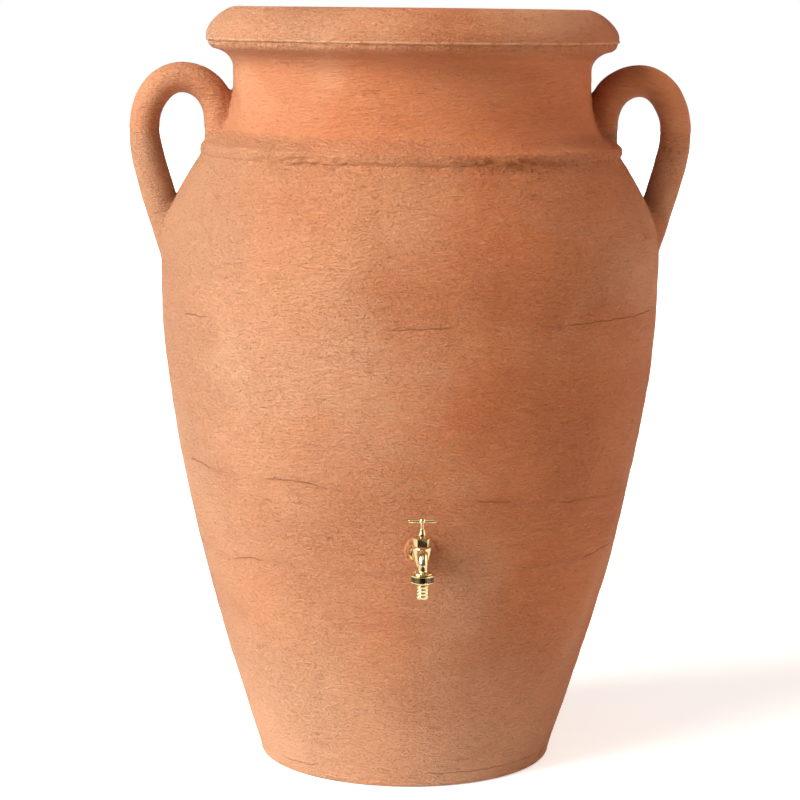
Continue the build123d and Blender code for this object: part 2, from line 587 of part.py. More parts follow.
def make_lid() -> Part:
    """Drop-in lid: a shallow dome with a flat for the knob, a locating skirt and ribs underneath."""
    edge = LID_SEAT_RADIUS - LID_GAP
    skirt = OPENING_RADIUS - LID_GAP
    inner_skirt = skirt - LID_WALL
    top = LEDGE_TOP + LID_WALL
    skirt_foot = LEDGE_TOP - LID_SKIRT_DEPTH
    under = LID_TOP - LID_WALL
    lid = spun((0, LID_TOP), (KNOB_SEAT_RADIUS, LID_TOP), (skirt, top), (edge, top), (edge, LEDGE_TOP),
               (skirt, LEDGE_TOP), (skirt, skirt_foot), (inner_skirt, skirt_foot), (inner_skirt, LEDGE_TOP),
               (KNOB_SEAT_RADIUS, under), (0, under))
    rib_low = LEDGE_TOP - LID_RIB_DEPTH
    length = inner_skirt - KNOB_SEAT_RADIUS + LID_WALL / 2
    middle = inner_skirt + LID_WALL / 2 - length / 2
    rib = extrude(Rectangle(length, LID_RIB_THICK), LEDGE_TOP + LID_WALL / 2 - rib_low)
    rib = Pos(middle, 0, rib_low) * rib
    lid += PolarLocations(0, LID_RIBS) * rib
    return lid - rod(SCREW_RADIUS + SCREW_HOLE_GAP, under - LID_RIB_DEPTH, LID_TOP)


def make_lid_knob() -> Part:
    """Turned knob that stands on the middle of the lid."""
    top = LID_TOP + KNOB_HEIGHT
    neck = top - KNOB_CAP
    knob = turned(
        Polyline((0, LID_TOP), (KNOB_STEM_RADIUS + 2, LID_TOP), (KNOB_STEM_RADIUS, neck - 3)),
        ThreePointArc((KNOB_STEM_RADIUS, neck - 3), (KNOB_STEM_RADIUS + 4, neck - 0.5), (KNOB_RADIUS - 2, neck)),
        ThreePointArc((KNOB_RADIUS - 2, neck), (KNOB_RADIUS, neck + 2.5), (KNOB_RADIUS - 2, neck + 5)),
        TangentArc((0, top), (KNOB_RADIUS - 2, neck + 5), tangent=(1, 0)),
    )
    depth = SCREW_LENGTH - LID_WALL - SCREW_WASHER_THICK
    return knob - rod(SCREW_RADIUS, LID_TOP, LID_TOP + depth)


def make_knob_washer() -> Part:
    """Washer under the head of the knob screw."""
    top = LID_TOP - LID_WALL
    return tube(SCREW_WASHER_RADIUS, SCREW_RADIUS + THREAD_GAP, top - SCREW_WASHER_THICK, top)


def make_knob_screw() -> Part:
    """Screw that holds the knob from below."""
    head_top = LID_TOP - LID_WALL - SCREW_WASHER_THICK
    head_low = head_top - SCREW_HEAD_THICK
    screw = rod(SCREW_HEAD_RADIUS, head_low, head_top) + rod(SCREW_RADIUS, head_top, head_top + SCREW_LENGTH)
    slot = extrude(Rectangle(2 * SCREW_HEAD_RADIUS, SCREW_SLOT), SCREW_HEAD_THICK / 2)
    return screw - Pos(0, 0, head_low) * slot


NODES = {
    "barrel_shell": make_barrel,
    "tap_insert": make_insert,
    "inlet_washer": make_inlet_washer,
    "tap_body": make_tap_body,
    "bonnet_washer": make_bonnet_washer,
    "bonnet": make_bonnet,
    "packing_ring": make_packing_ring,
    "packing_nut": make_packing_nut,
    "spindle": make_spindle,
    "crutch_handle": make_crutch_handle,
    "grub_screw": make_grub_screw,
    "jumper": make_jumper,
    "jumper_washer": make_jumper_washer,
    "jumper_nut": make_jumper_nut,
    "union_nut": make_union_nut,
    "union_washer": make_union_washer,
    "hose_tail": make_hose_tail,
    "lid": make_lid,
    "lid_knob": make_lid_knob,
    "knob_washer": make_knob_washer,
    "knob_screw": make_knob_screw,
}

os.makedirs("parts", exist_ok=True)
for name, make in NODES.items():
    node = make()
    node.label = name
    export_step(node, f"parts/{name}.step")
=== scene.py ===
"""Looks of the amphora-shaped rain barrel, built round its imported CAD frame.

The barrel moulding, the lid and the visible pieces of the tap are modelled here with Blender's own tools
and stand for the plain CAD nodes. The hidden pieces keep their CAD meshes and get a finish. Lengths are in
metres unless a name says otherwise; +Z is up and the tap faces -Y, as in the frame.
"""

import logging
import math
from dataclasses import dataclass
from enum import Enum
from typing import Callable, Iterable, Sequence

import bpy
from mathutils import Matrix, Vector
from mathutils.kdtree import KDTree


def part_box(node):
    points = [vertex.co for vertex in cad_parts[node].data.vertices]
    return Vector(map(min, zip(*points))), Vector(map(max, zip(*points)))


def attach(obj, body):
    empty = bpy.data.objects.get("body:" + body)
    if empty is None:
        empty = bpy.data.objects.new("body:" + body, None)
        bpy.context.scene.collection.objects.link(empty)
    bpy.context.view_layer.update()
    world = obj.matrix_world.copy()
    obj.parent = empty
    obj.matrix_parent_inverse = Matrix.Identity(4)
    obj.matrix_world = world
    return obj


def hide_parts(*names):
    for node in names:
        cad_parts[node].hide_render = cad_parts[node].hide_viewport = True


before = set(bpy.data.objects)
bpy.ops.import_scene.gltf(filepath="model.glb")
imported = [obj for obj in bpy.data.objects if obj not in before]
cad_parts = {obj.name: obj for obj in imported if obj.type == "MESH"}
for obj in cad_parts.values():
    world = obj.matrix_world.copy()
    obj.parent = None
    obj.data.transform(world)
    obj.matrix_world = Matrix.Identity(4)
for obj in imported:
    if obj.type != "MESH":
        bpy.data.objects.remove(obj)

MM = 0.001
WASHER_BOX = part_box("inlet_washer")
BOSS_FACE = round(-WASHER_BOX[1].y, 7)
INLET_HEIGHT = round((WASHER_BOX[0].z + WASHER_BOX[1].z) / 2, 6)
RIM_TOP = round(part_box("barrel_shell")[1].z, 6)
LID_TOP = round(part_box("lid")[1].z, 6)
LOG = logging.getLogger("rain_barrel")

Colour = tuple[float, float, float, float]
Outline = list[tuple[float, float]]


class Slot(Enum):
    """The record's material slots that the modelled pieces fill."""

    BARREL = "barrel_plastic"
    LID = "lid_plastic"
    BRASS = "brass"


# ---- modelling helpers ------------------------------------------------------------------------------


def deselect() -> None:
    """Leave object mode's selection empty."""
    if bpy.context.object and bpy.context.object.mode != "OBJECT":
        bpy.ops.object.mode_set(mode="OBJECT")
    bpy.ops.object.select_all(action="DESELECT")


def activate(piece: bpy.types.Object) -> None:
    """Select one object alone and make it active.

    Args:
        piece: The object to work on next.
    """
    deselect()
    piece.select_set(True)
    bpy.context.view_layer.objects.active = piece


def settle(piece: bpy.types.Object, matrix: Matrix | None = None) -> bpy.types.Object:
    """Move a piece and write its place into its mesh.

    Args:
        piece: The object to settle.
        matrix: Where it goes, or None to keep the place that it has.

    Returns:
        The same object, at the origin, unturned and unscaled.
    """
    activate(piece)
    if matrix is not None:
        piece.matrix_world = matrix @ piece.matrix_world
    bpy.ops.object.transform_apply(location=True, rotation=True, scale=True)
    return piece


def tidy_mesh(piece: bpy.types.Object, distance: float = 1e-6) -> None:
    """Merge doubles and turn every face outwards.

    Args:
        piece: The mesh to clean.
        distance: Doubles nearer than this are merged.
    """
    activate(piece)
    bpy.ops.object.mode_set(mode="EDIT")
    bpy.ops.mesh.select_all(action="SELECT")
    bpy.ops.mesh.remove_doubles(threshold=distance)
    bpy.ops.mesh.normals_make_consistent(inside=False)
    bpy.ops.object.mode_set(mode="OBJECT")


def apply_modifier(piece: bpy.types.Object, kind: str, **settings: object) -> None:
    """Add one modifier, set it up and apply it.

    Args:
        piece: The mesh that it works on.
        kind: Blender's modifier type.
        settings: Values for the modifier's own properties.
    """
    activate(piece)
    modifier = piece.modifiers.new(kind.lower(), kind)
    for key, value in settings.items():
        setattr(modifier, key, value)
    bpy.ops.object.modifier_apply(modifier=modifier.name)


def lathe(name: str, outline: Outline, sides: int) -> bpy.types.Object:
    """Turn a shape about Z: one vertex is extruded along the outline and the line is spun.

    Args:
        name: Name of the piece.
        outline: Radius and height of each ring, in order; a closed shape ends where it starts or on the axis.
        sides: Number of steps in the turn.

    Returns:
        The new mesh, standing on the Z axis.
    """
    deselect()
    radius, height = outline[0]
    bpy.ops.mesh.primitive_plane_add(size=MM, location=(radius, 0, height))
    piece = bpy.context.object
    piece.name = piece.data.name = name
    settle(piece)
    bpy.ops.object.mode_set(mode="EDIT")
    bpy.ops.mesh.select_all(action="SELECT")
    bpy.ops.mesh.merge(type="CENTER")
    for next_radius, next_height in outline[1:]:
        bpy.ops.mesh.extrude_region_move(
            TRANSFORM_OT_translate={"value": (next_radius - radius, 0, next_height - height)})
        radius, height = next_radius, next_height
    bpy.ops.mesh.select_all(action="SELECT")
    bpy.ops.mesh.spin(steps=sides, angle=math.tau, center=(0, 0, 0), axis=(0, 0, 1))
    bpy.ops.object.mode_set(mode="OBJECT")
    tidy_mesh(piece, 1e-5)
    return piece


@dataclass(frozen=True)
class Station:
    """One cross-section of a bar that follows a path in the XZ plane."""

    x: float
    z: float
    heading: float
    deep: float
    wide: float


def bar(name: str, stations: Sequence[Station], sides: int) -> bpy.types.Object:
    """Draw an oval bar through its cross-sections by extruding, moving and turning one ring.

    Args:
        name: Name of the piece.
        stations: Sections in order; heading is the angle of the path above +X, in radians.
        sides: Number of vertices in a ring.

    Returns:
        The new mesh, closed at both ends.
    """
    deselect()
    first = stations[0]
    bpy.ops.mesh.primitive_circle_add(vertices=sides, radius=1)
    piece = bpy.context.object
    piece.name = piece.data.name = name
    piece.matrix_world = (Matrix.Translation((first.x, 0, first.z))
                          @ Matrix.Rotation(math.pi / 2 - first.heading, 4, "Y")
                          @ Matrix.Diagonal((first.deep, first.wide, 1, 1)))
    settle(piece)
    bpy.ops.object.mode_set(mode="EDIT")
    bpy.ops.mesh.select_all(action="SELECT")
    for last, here in zip(stations, stations[1:]):
        bpy.ops.mesh.extrude_region_move(
            TRANSFORM_OT_translate={"value": (here.x - last.x, 0, here.z - last.z)})
        centre = (here.x, 0, here.z)
        bpy.ops.transform.rotate(value=here.heading - last.heading, orient_axis="Y",
                                 orient_type="GLOBAL", center_override=centre)
        grow = here.deep / last.deep
        bpy.ops.transform.resize(value=(grow, here.wide / last.wide, grow), center_override=centre)
    bpy.ops.object.mode_set(mode="OBJECT")
    activate(piece)
    bpy.ops.object.mode_set(mode="EDIT")
    bpy.ops.mesh.select_all(action="DESELECT")
    bpy.ops.mesh.select_non_manifold()
    bpy.ops.mesh.fill_holes(sides=0)
    bpy.ops.object.mode_set(mode="OBJECT")
    tidy_mesh(piece)
    return piece


def join(target: bpy.types.Object, others: Iterable[bpy.types.Object], **settings: object
         ) -> bpy.types.Object:
    """Unite meshes into one closed skin.

    Args:
        target: The mesh that keeps its name.
        others: Meshes that are added to it and removed.
        settings: Further settings of the modifier that unites them.

    Returns:
        The target.
    """
    for other in others:
        apply_modifier(target, "BOOLEAN", operation="UNION", solver="EXACT", object=other, **settings)
        bpy.data.objects.remove(other)
    return target


def cut(target: bpy.types.Object, cutters: Iterable[bpy.types.Object]) -> None:
    """Cut solids from a mesh and remove them.

    Args:
        target: The mesh that is cut.
        cutters: The solids that are taken from it.
    """
    for cutter in cutters:
        apply_modifier(target, "BOOLEAN", operation="DIFFERENCE", solver="EXACT", object=cutter)
        bpy.data.objects.remove(cutter)


def bezier(points: Sequence[tuple[float, float]], share: float) -> tuple[float, float]:
    """Point on a cubic Bezier curve.

    Args:
        points: Its four control points.
        share: Place along the curve, 0 to 1.

    Returns:
        The point as (radius, height).
    """
    rest = 1 - share
    weights = (rest ** 3, 3 * rest ** 2 * share, 3 * rest * share ** 2, share ** 3)
    return tuple(sum(w * p[axis] for w, p in zip(weights, points)) for axis in (0, 1))


def finish_piece(piece: bpy.types.Object, material: bpy.types.Material, body: str, replaced: str,
                 angle: float) -> None:
    """Shade a piece, give it its material and hang it on the frame.

    Args:
        piece: The finished mesh.
        material: Its material.
        body: The CAD body that it rides on.
        replaced: The CAD node that it stands for.
        angle: Sharpest angle in degrees that still looks round.
    """
    activate(piece)
    bpy.ops.object.shade_smooth_by_angle(angle=math.radians(angle))
    piece.data.materials.clear()
    piece.data.materials.append(material)
    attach(piece, body)
    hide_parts(replaced)
    LOG.info("piece %s: %d faces on %s", piece.name, len(piece.data.polygons), body)


# ---- material helpers -------------------------------------------------------------------------------


class Graph:
    """A node tree with short calls for the nodes that the finishes use."""

    def __init__(self, tree: bpy.types.NodeTree) -> None:
        """Wrap a node tree."""
        self.tree = tree

    def add(self, kind: str, **settings: object) -> bpy.types.Node:
        """Add a node and set its properties.

        Args:
            kind: Blender's node type.
            settings: Values for the node's own properties.

        Returns:
            The new node.
        """
        node = self.tree.nodes.new(kind)
        for key, value in settings.items():
            setattr(node, key, value)
        return node

    def feed(self, socket: bpy.types.NodeSocket, value: object) -> None:
        """Link a socket to another, or set its value."""
        if isinstance(value, bpy.types.NodeSocket):
            self.tree.links.new(value, socket)
        else:
            socket.default_value = value

    def math(self, operation: str, first: object, *others: object) -> bpy.types.NodeSocket:
        """Return the result of a math node, or of a chain of them when there are more than two values."""
        result = first
        for other in others or (0.0,):
            node = self.add("ShaderNodeMath", operation=operation)
            self.feed(node.inputs[0], result)
            self.feed(node.inputs[1], other)
            result = node.outputs[0]
        return result

    def times(self, *factors: object) -> bpy.types.NodeSocket:
        """Return a product."""
        return self.math("MULTIPLY", *factors)

    def plus(self, *terms: object) -> bpy.types.NodeSocket:
        """Return a sum."""
        return self.math("ADD", *terms)

    def less(self, first: object, second: object) -> bpy.types.NodeSocket:
        """Return a difference."""
        return self.math("SUBTRACT", first, second)

    def most(self, *values: object) -> bpy.types.NodeSocket:
        """Return the largest value."""
        return self.math("MAXIMUM", *values)

    def axes(self, vector: object) -> Sequence[bpy.types.NodeSocket]:
        """Return the X, Y and Z of a vector."""
        parts = self.add("ShaderNodeSeparateXYZ")
        self.feed(parts.inputs[0], vector)
        return parts.outputs

    def stretch(self, vector: object, scale: Sequence[float], shift: Sequence[float] = (0, 0, 0)
                ) -> bpy.types.NodeSocket:
        """Return coordinates scaled and shifted by a Mapping node."""
        node = self.add("ShaderNodeMapping")
        self.feed(node.inputs["Vector"], vector)
        node.inputs["Location"].default_value = shift
        node.inputs["Scale"].default_value = scale
        return node.outputs[0]

    def noise(self, vector: object, scale: object, detail: float = 3.0, roughness: float = 0.55,
              distortion: float = 0.0) -> bpy.types.NodeSocket:
        """Return the value of a noise texture."""
        node = self.add("ShaderNodeTexNoise")
        self.feed(node.inputs["Vector"], vector)
        self.feed(node.inputs["Scale"], scale)
        node.inputs["Detail"].default_value = detail
        node.inputs["Roughness"].default_value = roughness
        node.inputs["Distortion"].default_value = distortion
        return node.outputs[0]

    def span(self, value: object, low: object, high: object, out_low: float = 0.0, out_high: float = 1.0
             ) -> bpy.types.NodeSocket:
        """Return a value moved smoothly from one range to another and clamped there."""
        node = self.add("ShaderNodeMapRange", interpolation_type="SMOOTHSTEP", clamp=True)
        for name, amount in (("Value", value), ("From Min", low), ("From Max", high),
                             ("To Min", out_low), ("To Max", out_high)):
            self.feed(node.inputs[name], amount)
        return node.outputs[0]

    def blend(self, factor: object, first: object, second: object, mode: str = "MIX"
              ) -> bpy.types.NodeSocket:
        """Return two colours mixed by a factor."""
        node = self.add("ShaderNodeMix", data_type="RGBA", blend_type=mode)
        self.feed(node.inputs[0], factor)
        self.feed(node.inputs[6], first)
        self.feed(node.inputs[7], second)
        return node.outputs[2]

    def bump(self, height: object, distance: float, strength: float, normal: object = None
             ) -> bpy.types.NodeSocket:
        """Return a normal raised by a height."""
        node = self.add("ShaderNodeBump")
        node.inputs["Strength"].default_value = strength
        node.inputs["Distance"].default_value = distance
        self.feed(node.inputs["Height"], height)
        if normal is not None:
            self.feed(node.inputs["Normal"], normal)
        return node.outputs[0]

    def group(self, group: bpy.types.NodeTree, **values: object) -> bpy.types.Node:
        """Place a node group and feed its inputs by name.

        Args:
            group: The shared effect.
            values: Inputs by name, with underscores for spaces.

        Returns:
            The group node.
        """
        node = self.add("ShaderNodeGroup", node_tree=group)
        for key, value in values.items():
            self.feed(node.inputs[key.replace("_", " ")], value)
        return node


def new_group(name: str, inputs: dict[str, float | None], outputs: Sequence[str]
              ) -> tuple[bpy.types.NodeTree, Graph, dict[str, bpy.types.NodeSocket], bpy.types.Node]:
    """Start a shader node group.

    Args:
        name: The group's name.
        inputs: Each input and its default; None makes a vector input.
        outputs: Names of the value outputs.

    Returns:
        The group, its graph, its inputs by name, and its output node.
    """
    group = bpy.data.node_groups.new(name, "ShaderNodeTree")
    for label, default in inputs.items():
        kind = "NodeSocketVector" if default is None else "NodeSocketFloat"
        socket = group.interface.new_socket(label, in_out="INPUT", socket_type=kind)
        if default is not None:
            socket.default_value = default
    for label in outputs:
        group.interface.new_socket(label, in_out="OUTPUT", socket_type="NodeSocketFloat")
    graph = Graph(group)
    entry = graph.add("NodeGroupInput")
    exit_node = graph.add("NodeGroupOutput")
    return group, graph, {socket.name: socket for socket in entry.outputs}, exit_node


class Effects:
    """Shared surface effects, each built once as a node group."""

    def __init__(self) -> None:
        """Build every effect."""
        self.grain = self._grain()
        self.streaks = self._streaks()
        self.crack = self._crack()
        self.gouges = self._gouges()
        self.dust = self._dust()
        self.band = self._band()

    @staticmethod
    def _grain() -> bpy.types.NodeTree:
        """Return the fine grain effect: a height and a speckle mask."""
        group, graph, given, out = new_group("Grain", {"Vector": None, "Scale": 300.0}, ("Height", "Speckle"))
        fine = graph.noise(given["Vector"], given["Scale"], detail=4.0, roughness=0.65)
        coarse = graph.noise(given["Vector"], graph.times(given["Scale"], 0.35), detail=2.0)
        graph.feed(out.inputs["Height"], graph.plus(graph.times(fine, 0.6),
                                                    graph.times(coarse, 0.4)))
        graph.feed(out.inputs["Speckle"], graph.span(fine, 0.52, 0.72))
        return group

    @staticmethod
    def _streaks() -> bpy.types.NodeTree:
        """Return the level streaks that a turned clay pot shows."""
        group, graph, given, out = new_group(
            "Streaks", {"Vector": None, "Scale": 1.0, "Low": 0.45, "High": 0.7}, ("Mask", "Height"))
        drawn = graph.stretch(given["Vector"], (1.0, 1.0, 4.2))
        value = graph.noise(drawn, given["Scale"], detail=5.0, roughness=0.65, distortion=0.6)
        graph.feed(out.inputs["Mask"], graph.span(value, given["Low"], given["High"]))
        graph.feed(out.inputs["Height"], value)
        return group

    @staticmethod
    def _crack() -> bpy.types.NodeTree:
        """Return one long crack that wanders about a level line and fades in and out."""
        group, graph, given, out = new_group("Crack", {"Vector": None, "Level": 0.4, "Wander": 0.02,
                                                       "Width": 0.003, "Lean": 0.0, "Shift": 0.0},
                                             ("Mask", "Shade"))
        across, along, height = graph.axes(given["Vector"])
        shifted = graph.add("ShaderNodeCombineXYZ")
        graph.feed(shifted.inputs[0], across)
        graph.feed(shifted.inputs[1], graph.plus(along, given["Shift"]))
        graph.feed(shifted.inputs[2], given["Level"])
        slow = graph.less(graph.noise(shifted.outputs[0], 4.0, detail=1.0), 0.5)
        quick = graph.less(graph.noise(shifted.outputs[0], 45.0, detail=3.0), 0.5)
        way = graph.plus(graph.times(slow, given["Wander"]),
                         graph.times(quick, 0.009))
        way = graph.plus(way, graph.times(across, given["Lean"]))
        centre = graph.plus(given["Level"], way)
        away = graph.less(height, centre)
        near = graph.math("ABSOLUTE", away)
        line = graph.span(near, given["Width"], 0.0)
        present = graph.span(graph.noise(shifted.outputs[0], 9.0, detail=2.0), 0.51, 0.60)
        graph.feed(out.inputs["Mask"], graph.times(line, present))
        halo = graph.span(near, graph.times(given["Width"], 5.0), 0.0)
        soft = graph.span(graph.noise(shifted.outputs[0], 6.0, detail=1.0), 0.35, 0.6)
        graph.feed(out.inputs["Shade"], graph.times(halo, soft))
        return group

    @staticmethod
    def _gouges() -> bpy.types.NodeTree:
        """Return scattered small gouges, longer than they are high."""
        group, graph, given, out = new_group(
            "Gouges", {"Vector": None, "Density": 9.0, "Size": 0.12, "Shift": 0.0}, ("Mask",))
        drawn = graph.stretch(given["Vector"], (1.0, 1.0, 2.6))
        moved = graph.add("ShaderNodeVectorMath", operation="ADD")
        graph.feed(moved.inputs[0], drawn)
        graph.feed(moved.inputs[1], given["Shift"])
        warp = graph.add("ShaderNodeTexNoise")
        graph.feed(warp.inputs["Vector"], drawn)
        warp.inputs["Scale"].default_value = 40.0
        warp.inputs["Detail"].default_value = 2.0
        push = graph.add("ShaderNodeVectorMath", operation="SCALE")
        graph.feed(push.inputs[0], warp.outputs["Color"])
        push.inputs["Scale"].default_value = 0.05
        place = graph.add("ShaderNodeVectorMath", operation="ADD")
        graph.feed(place.inputs[0], moved.outputs[0])
        graph.feed(place.inputs[1], push.outputs[0])
        cells = graph.add("ShaderNodeTexVoronoi", feature="F1")
        graph.feed(cells.inputs["Vector"], place.outputs[0])
        graph.feed(cells.inputs["Scale"], given["Density"])
        graph.feed(out.inputs["Mask"], graph.span(cells.outputs["Distance"], given["Size"],
                                                  graph.times(given["Size"], 0.3)))
        return group

    @staticmethod
    def _dust() -> bpy.types.NodeTree:
        """Return cloudy patches of pale dust."""
        group, graph, given, out = new_group(
            "Dust", {"Vector": None, "Scale": 4.0, "Low": 0.5, "High": 0.75}, ("Mask",))
        cloud = graph.noise(given["Vector"], given["Scale"], detail=3.0, roughness=0.5, distortion=0.6)
        broken = graph.noise(given["Vector"], graph.times(given["Scale"], 9.0), detail=3.0)
        patch = graph.span(cloud, given["Low"], given["High"])
        graph.feed(out.inputs["Mask"], graph.times(patch, graph.span(broken, 0.3, 0.6, 0.6, 1.0)))
        return group

    @staticmethod
    def _band() -> bpy.types.NodeTree:
        """Return a level band with soft edges."""
        group, graph, given, out = new_group(
            "Band", {"Vector": None, "Low": 0.0, "High": 1.0, "Soft": 0.01}, ("Mask",))
        height = graph.axes(given["Vector"])[2]
        above = graph.span(height, given["Low"], graph.plus(given["Low"], given["Soft"]))
        below = graph.span(height, given["High"], graph.less(given["High"], given["Soft"]))
        graph.feed(out.inputs["Mask"], graph.times(above, below))
        return group


def start_material(name: str) -> tuple[bpy.types.Material, Graph, bpy.types.Node, bpy.types.NodeSocket]:
    """Start a material on object coordinates.

    Args:
        name: The material's name.

    Returns:
        The material, its graph, its shader node and the object coordinates.
    """
    material = bpy.data.materials.new(name)
    material.use_nodes = True
    graph = Graph(material.node_tree)
    shader = material.node_tree.nodes["Principled BSDF"]
    return material, graph, shader, graph.add("ShaderNodeTexCoord").outputs["Object"]


# ---- finishes ---------------------------------------------------------------------------------------


@dataclass(frozen=True)
class Crack:
    """One long crack: its level, its wander, its half width, its lean along X and its place in the noise."""

    level: float
    wander: float
    width: float
    lean: float
    shift: float


@dataclass(frozen=True)
class TerracottaFinish:
    """Plastic moulded and coloured like a hand-thrown clay jar."""

    name: str = "terracotta_plastic"
    base: Colour = (0.61, 0.202, 0.072, 1)
    warm: Colour = (0.56, 0.160, 0.048, 1)
    pale: Colour = (0.70, 0.34, 0.18, 1)
    dark: Colour = (0.25, 0.066, 0.024, 1)
    # Pale colour of dust, bloom and the flash line; also painted on as light over the lit side and the foot.
    bloom_and_light: Colour = (0.84, 0.53, 0.335, 1)
    roughness: float = 0.6
    specular: float = 0.25
    sheen: float = 0.03
    sheen_roughness: float = 0.45
    ridge: tuple[float, float] = (0.906, 0.942)
    neck: tuple[float, float] = (0.942, 1.085)
    lip: tuple[float, float] = (1.0785, 1.0925)
    flash: tuple[float, float] = (1.0905, 1.0945)
    foot_dust_and_bounce: tuple[float, float] = (0.30, 0.02)
    cracks: tuple[Crack, ...] = (Crack(0.455, 0.05, 0.0018, -0.06, 0.2),
                                 Crack(0.345, 0.05, 0.0018, 0.02, 3.1), Crack(0.70, 0.03, 0.0016, 0.0, 5.4),
                                 Crack(0.022, 0.01, 0.0012, 0.0, 7.7))
    shaded_cracks: int = 2

    def build(self, effects: Effects) -> bpy.types.Material:
        """Build the material.

        Args:
            effects: The shared surface effects.

        Returns:
            The material.
        """
        material, graph, shader, place = start_material(self.name)
        marks = self.marks(graph, effects, place)
        graph.feed(shader.inputs["Base Color"], self.colour(graph, place, marks))
        graph.feed(shader.inputs["Roughness"],
                   graph.plus(self.roughness, graph.times(marks["streak height"], 0.12),
                              graph.times(marks["cracks"], 0.2)))
        shader.inputs["Specular IOR Level"].default_value = self.specular
        shader.inputs["Sheen Weight"].default_value = self.sheen
        shader.inputs["Sheen Roughness"].default_value = self.sheen_roughness
        graph.feed(shader.inputs["Normal"], self.relief(graph, place, marks))
        return material

    def marks(self, graph: Graph, effects: Effects, place: bpy.types.NodeSocket
              ) -> dict[str, bpy.types.NodeSocket]:
        """Place the shared effects.

        Args:
            graph: The material's graph.
            effects: The shared surface effects.
            place: Object coordinates.

        Returns:
            Masks and heights by name.
        """
        def band(limits: tuple[float, float], soft: float) -> bpy.types.NodeSocket:
            """Return the mask of a level band."""
            return graph.group(effects.band, Vector=place, Low=limits[0], High=limits[1],
                               Soft=soft).outputs[0]

        streaks = graph.group(effects.streaks, Vector=place, Scale=22.0, Low=0.45, High=0.75)
        fine = graph.group(effects.streaks, Vector=place, Scale=80.0, Low=0.5, High=0.75)
        grain = graph.group(effects.grain, Vector=graph.stretch(place, (1, 1, 1.4)), Scale=200.0)
        lines = [graph.group(effects.crack, Vector=place, Level=crack.level, Wander=crack.wander,
                             Width=crack.width, Lean=crack.lean, Shift=crack.shift) for crack in self.cracks]
        crumbs = graph.span(graph.noise(graph.stretch(place, (1, 1, 1.6)), 95.0, detail=4.0), 0.48, 0.64)
        broken = graph.span(graph.noise(place, 7.0, detail=1.0), 0.46, 0.56)
        return {
            "streaks": streaks.outputs["Mask"], "streak height": streaks.outputs["Height"],
            "fine streaks": fine.outputs["Mask"], "fine height": fine.outputs["Height"],
            "speckle": grain.outputs["Speckle"], "grain height": grain.outputs["Height"],
            "neck": band(self.neck, 0.02), "flash": band(self.flash, 0.0012),
            "dust": graph.group(effects.dust, Vector=place, Scale=3.0, Low=0.5, High=0.72).outputs[0],
            "gouges": graph.group(effects.gouges, Vector=place, Density=9.0, Size=0.13, Shift=0.3).outputs[0],
            "pits": graph.group(effects.gouges, Vector=place, Density=34.0, Size=0.16, Shift=1.7).outputs[0],
            "cracks": graph.most(*[line.outputs["Mask"] for line in lines]),
            "shade": graph.most(*[line.outputs["Shade"] for line in lines[:self.shaded_cracks]]),
            "chips": graph.most(graph.times(band(self.ridge, 0.008), broken, crumbs),
                                graph.times(band(self.lip, 0.004), 0.8, crumbs))}

    def colour(self, graph: Graph, place: bpy.types.NodeSocket, marks: dict[str, bpy.types.NodeSocket]
               ) -> bpy.types.NodeSocket:
        """Mix the colour.

        Args:
            graph: The material's graph.
            place: Object coordinates.
            marks: Masks by name.

        Returns:
            The colour.
        """
        across, _, height = graph.axes(place)
        clouds = graph.noise(graph.stretch(place, (1, 1, 1.8)), 3.2, detail=3.0, distortion=0.4)
        colour = graph.blend(graph.span(clouds, 0.35, 0.65), self.base, self.warm)
        # Painted light: the -X side, where the key light falls, is painted paler, less so on the neck.
        sunny = graph.plus(graph.times(across, -1.0), graph.times(graph.noise(place, 5.0, detail=3.0), 0.5))
        sunlit = graph.times(graph.span(sunny, 0.05, 0.62, 0.0, 0.42),
                             graph.less(1.0, graph.times(marks["neck"], 0.35)))
        worn = graph.times(marks["flash"], graph.span(graph.noise(place, 60.0, detail=2.0), 0.35, 0.6))
        layers = ((marks["streaks"], 0.20, self.pale), (marks["fine streaks"], 0.18, self.pale),
                  # Painted shade: the neck band under the overhanging rim is darkened.
                  (sunlit, 1.0, self.bloom_and_light), (marks["neck"], 0.24, self.dark),
                  # The foot pales towards the bottom: partly dust, partly painted light bounced up from the
                  # floor.
                  (marks["dust"], 0.30, self.bloom_and_light), (graph.span(height, *self.foot_dust_and_bounce), 0.34, self.bloom_and_light),
                  (marks["speckle"], 0.15, self.dark), (marks["shade"], 0.14, self.dark),
                  (marks["cracks"], 0.65, self.dark), (marks["chips"], 0.30, self.dark),
                  (worn, 0.6, self.bloom_and_light), (marks["gouges"], 0.30, self.dark))
        for mask, share, tint in layers:
            colour = graph.blend(graph.times(mask, share), colour, tint)
        return colour

    def relief(self, graph: Graph, place: bpy.types.NodeSocket, marks: dict[str, bpy.types.NodeSocket]
               ) -> bpy.types.NodeSocket:
        """Raise the streaks and the grain and sink the cuts.

        Args:
            graph: The material's graph.
            place: Object coordinates.
            marks: Masks and heights by name.

        Returns:
            The normal.
        """
        calm = graph.less(1.0, graph.times(marks["neck"], 0.55))
        streaks = graph.plus(marks["streak height"], graph.times(marks["fine height"], 1.1))
        normal = graph.bump(graph.times(streaks, calm), 0.0130, 0.8)
        uneven = graph.span(graph.noise(place, 4.5, detail=2.0), 0.35, 0.65, 0.5, 1.2)
        normal = graph.bump(graph.times(marks["grain height"], uneven, calm), 0.0110, 0.9, normal)
        cuts = graph.most(marks["cracks"], graph.times(marks["gouges"], 0.8),
                          graph.times(marks["pits"], 0.45), marks["chips"])
        return graph.bump(graph.less(1.0, cuts), 0.003, 0.7, normal)


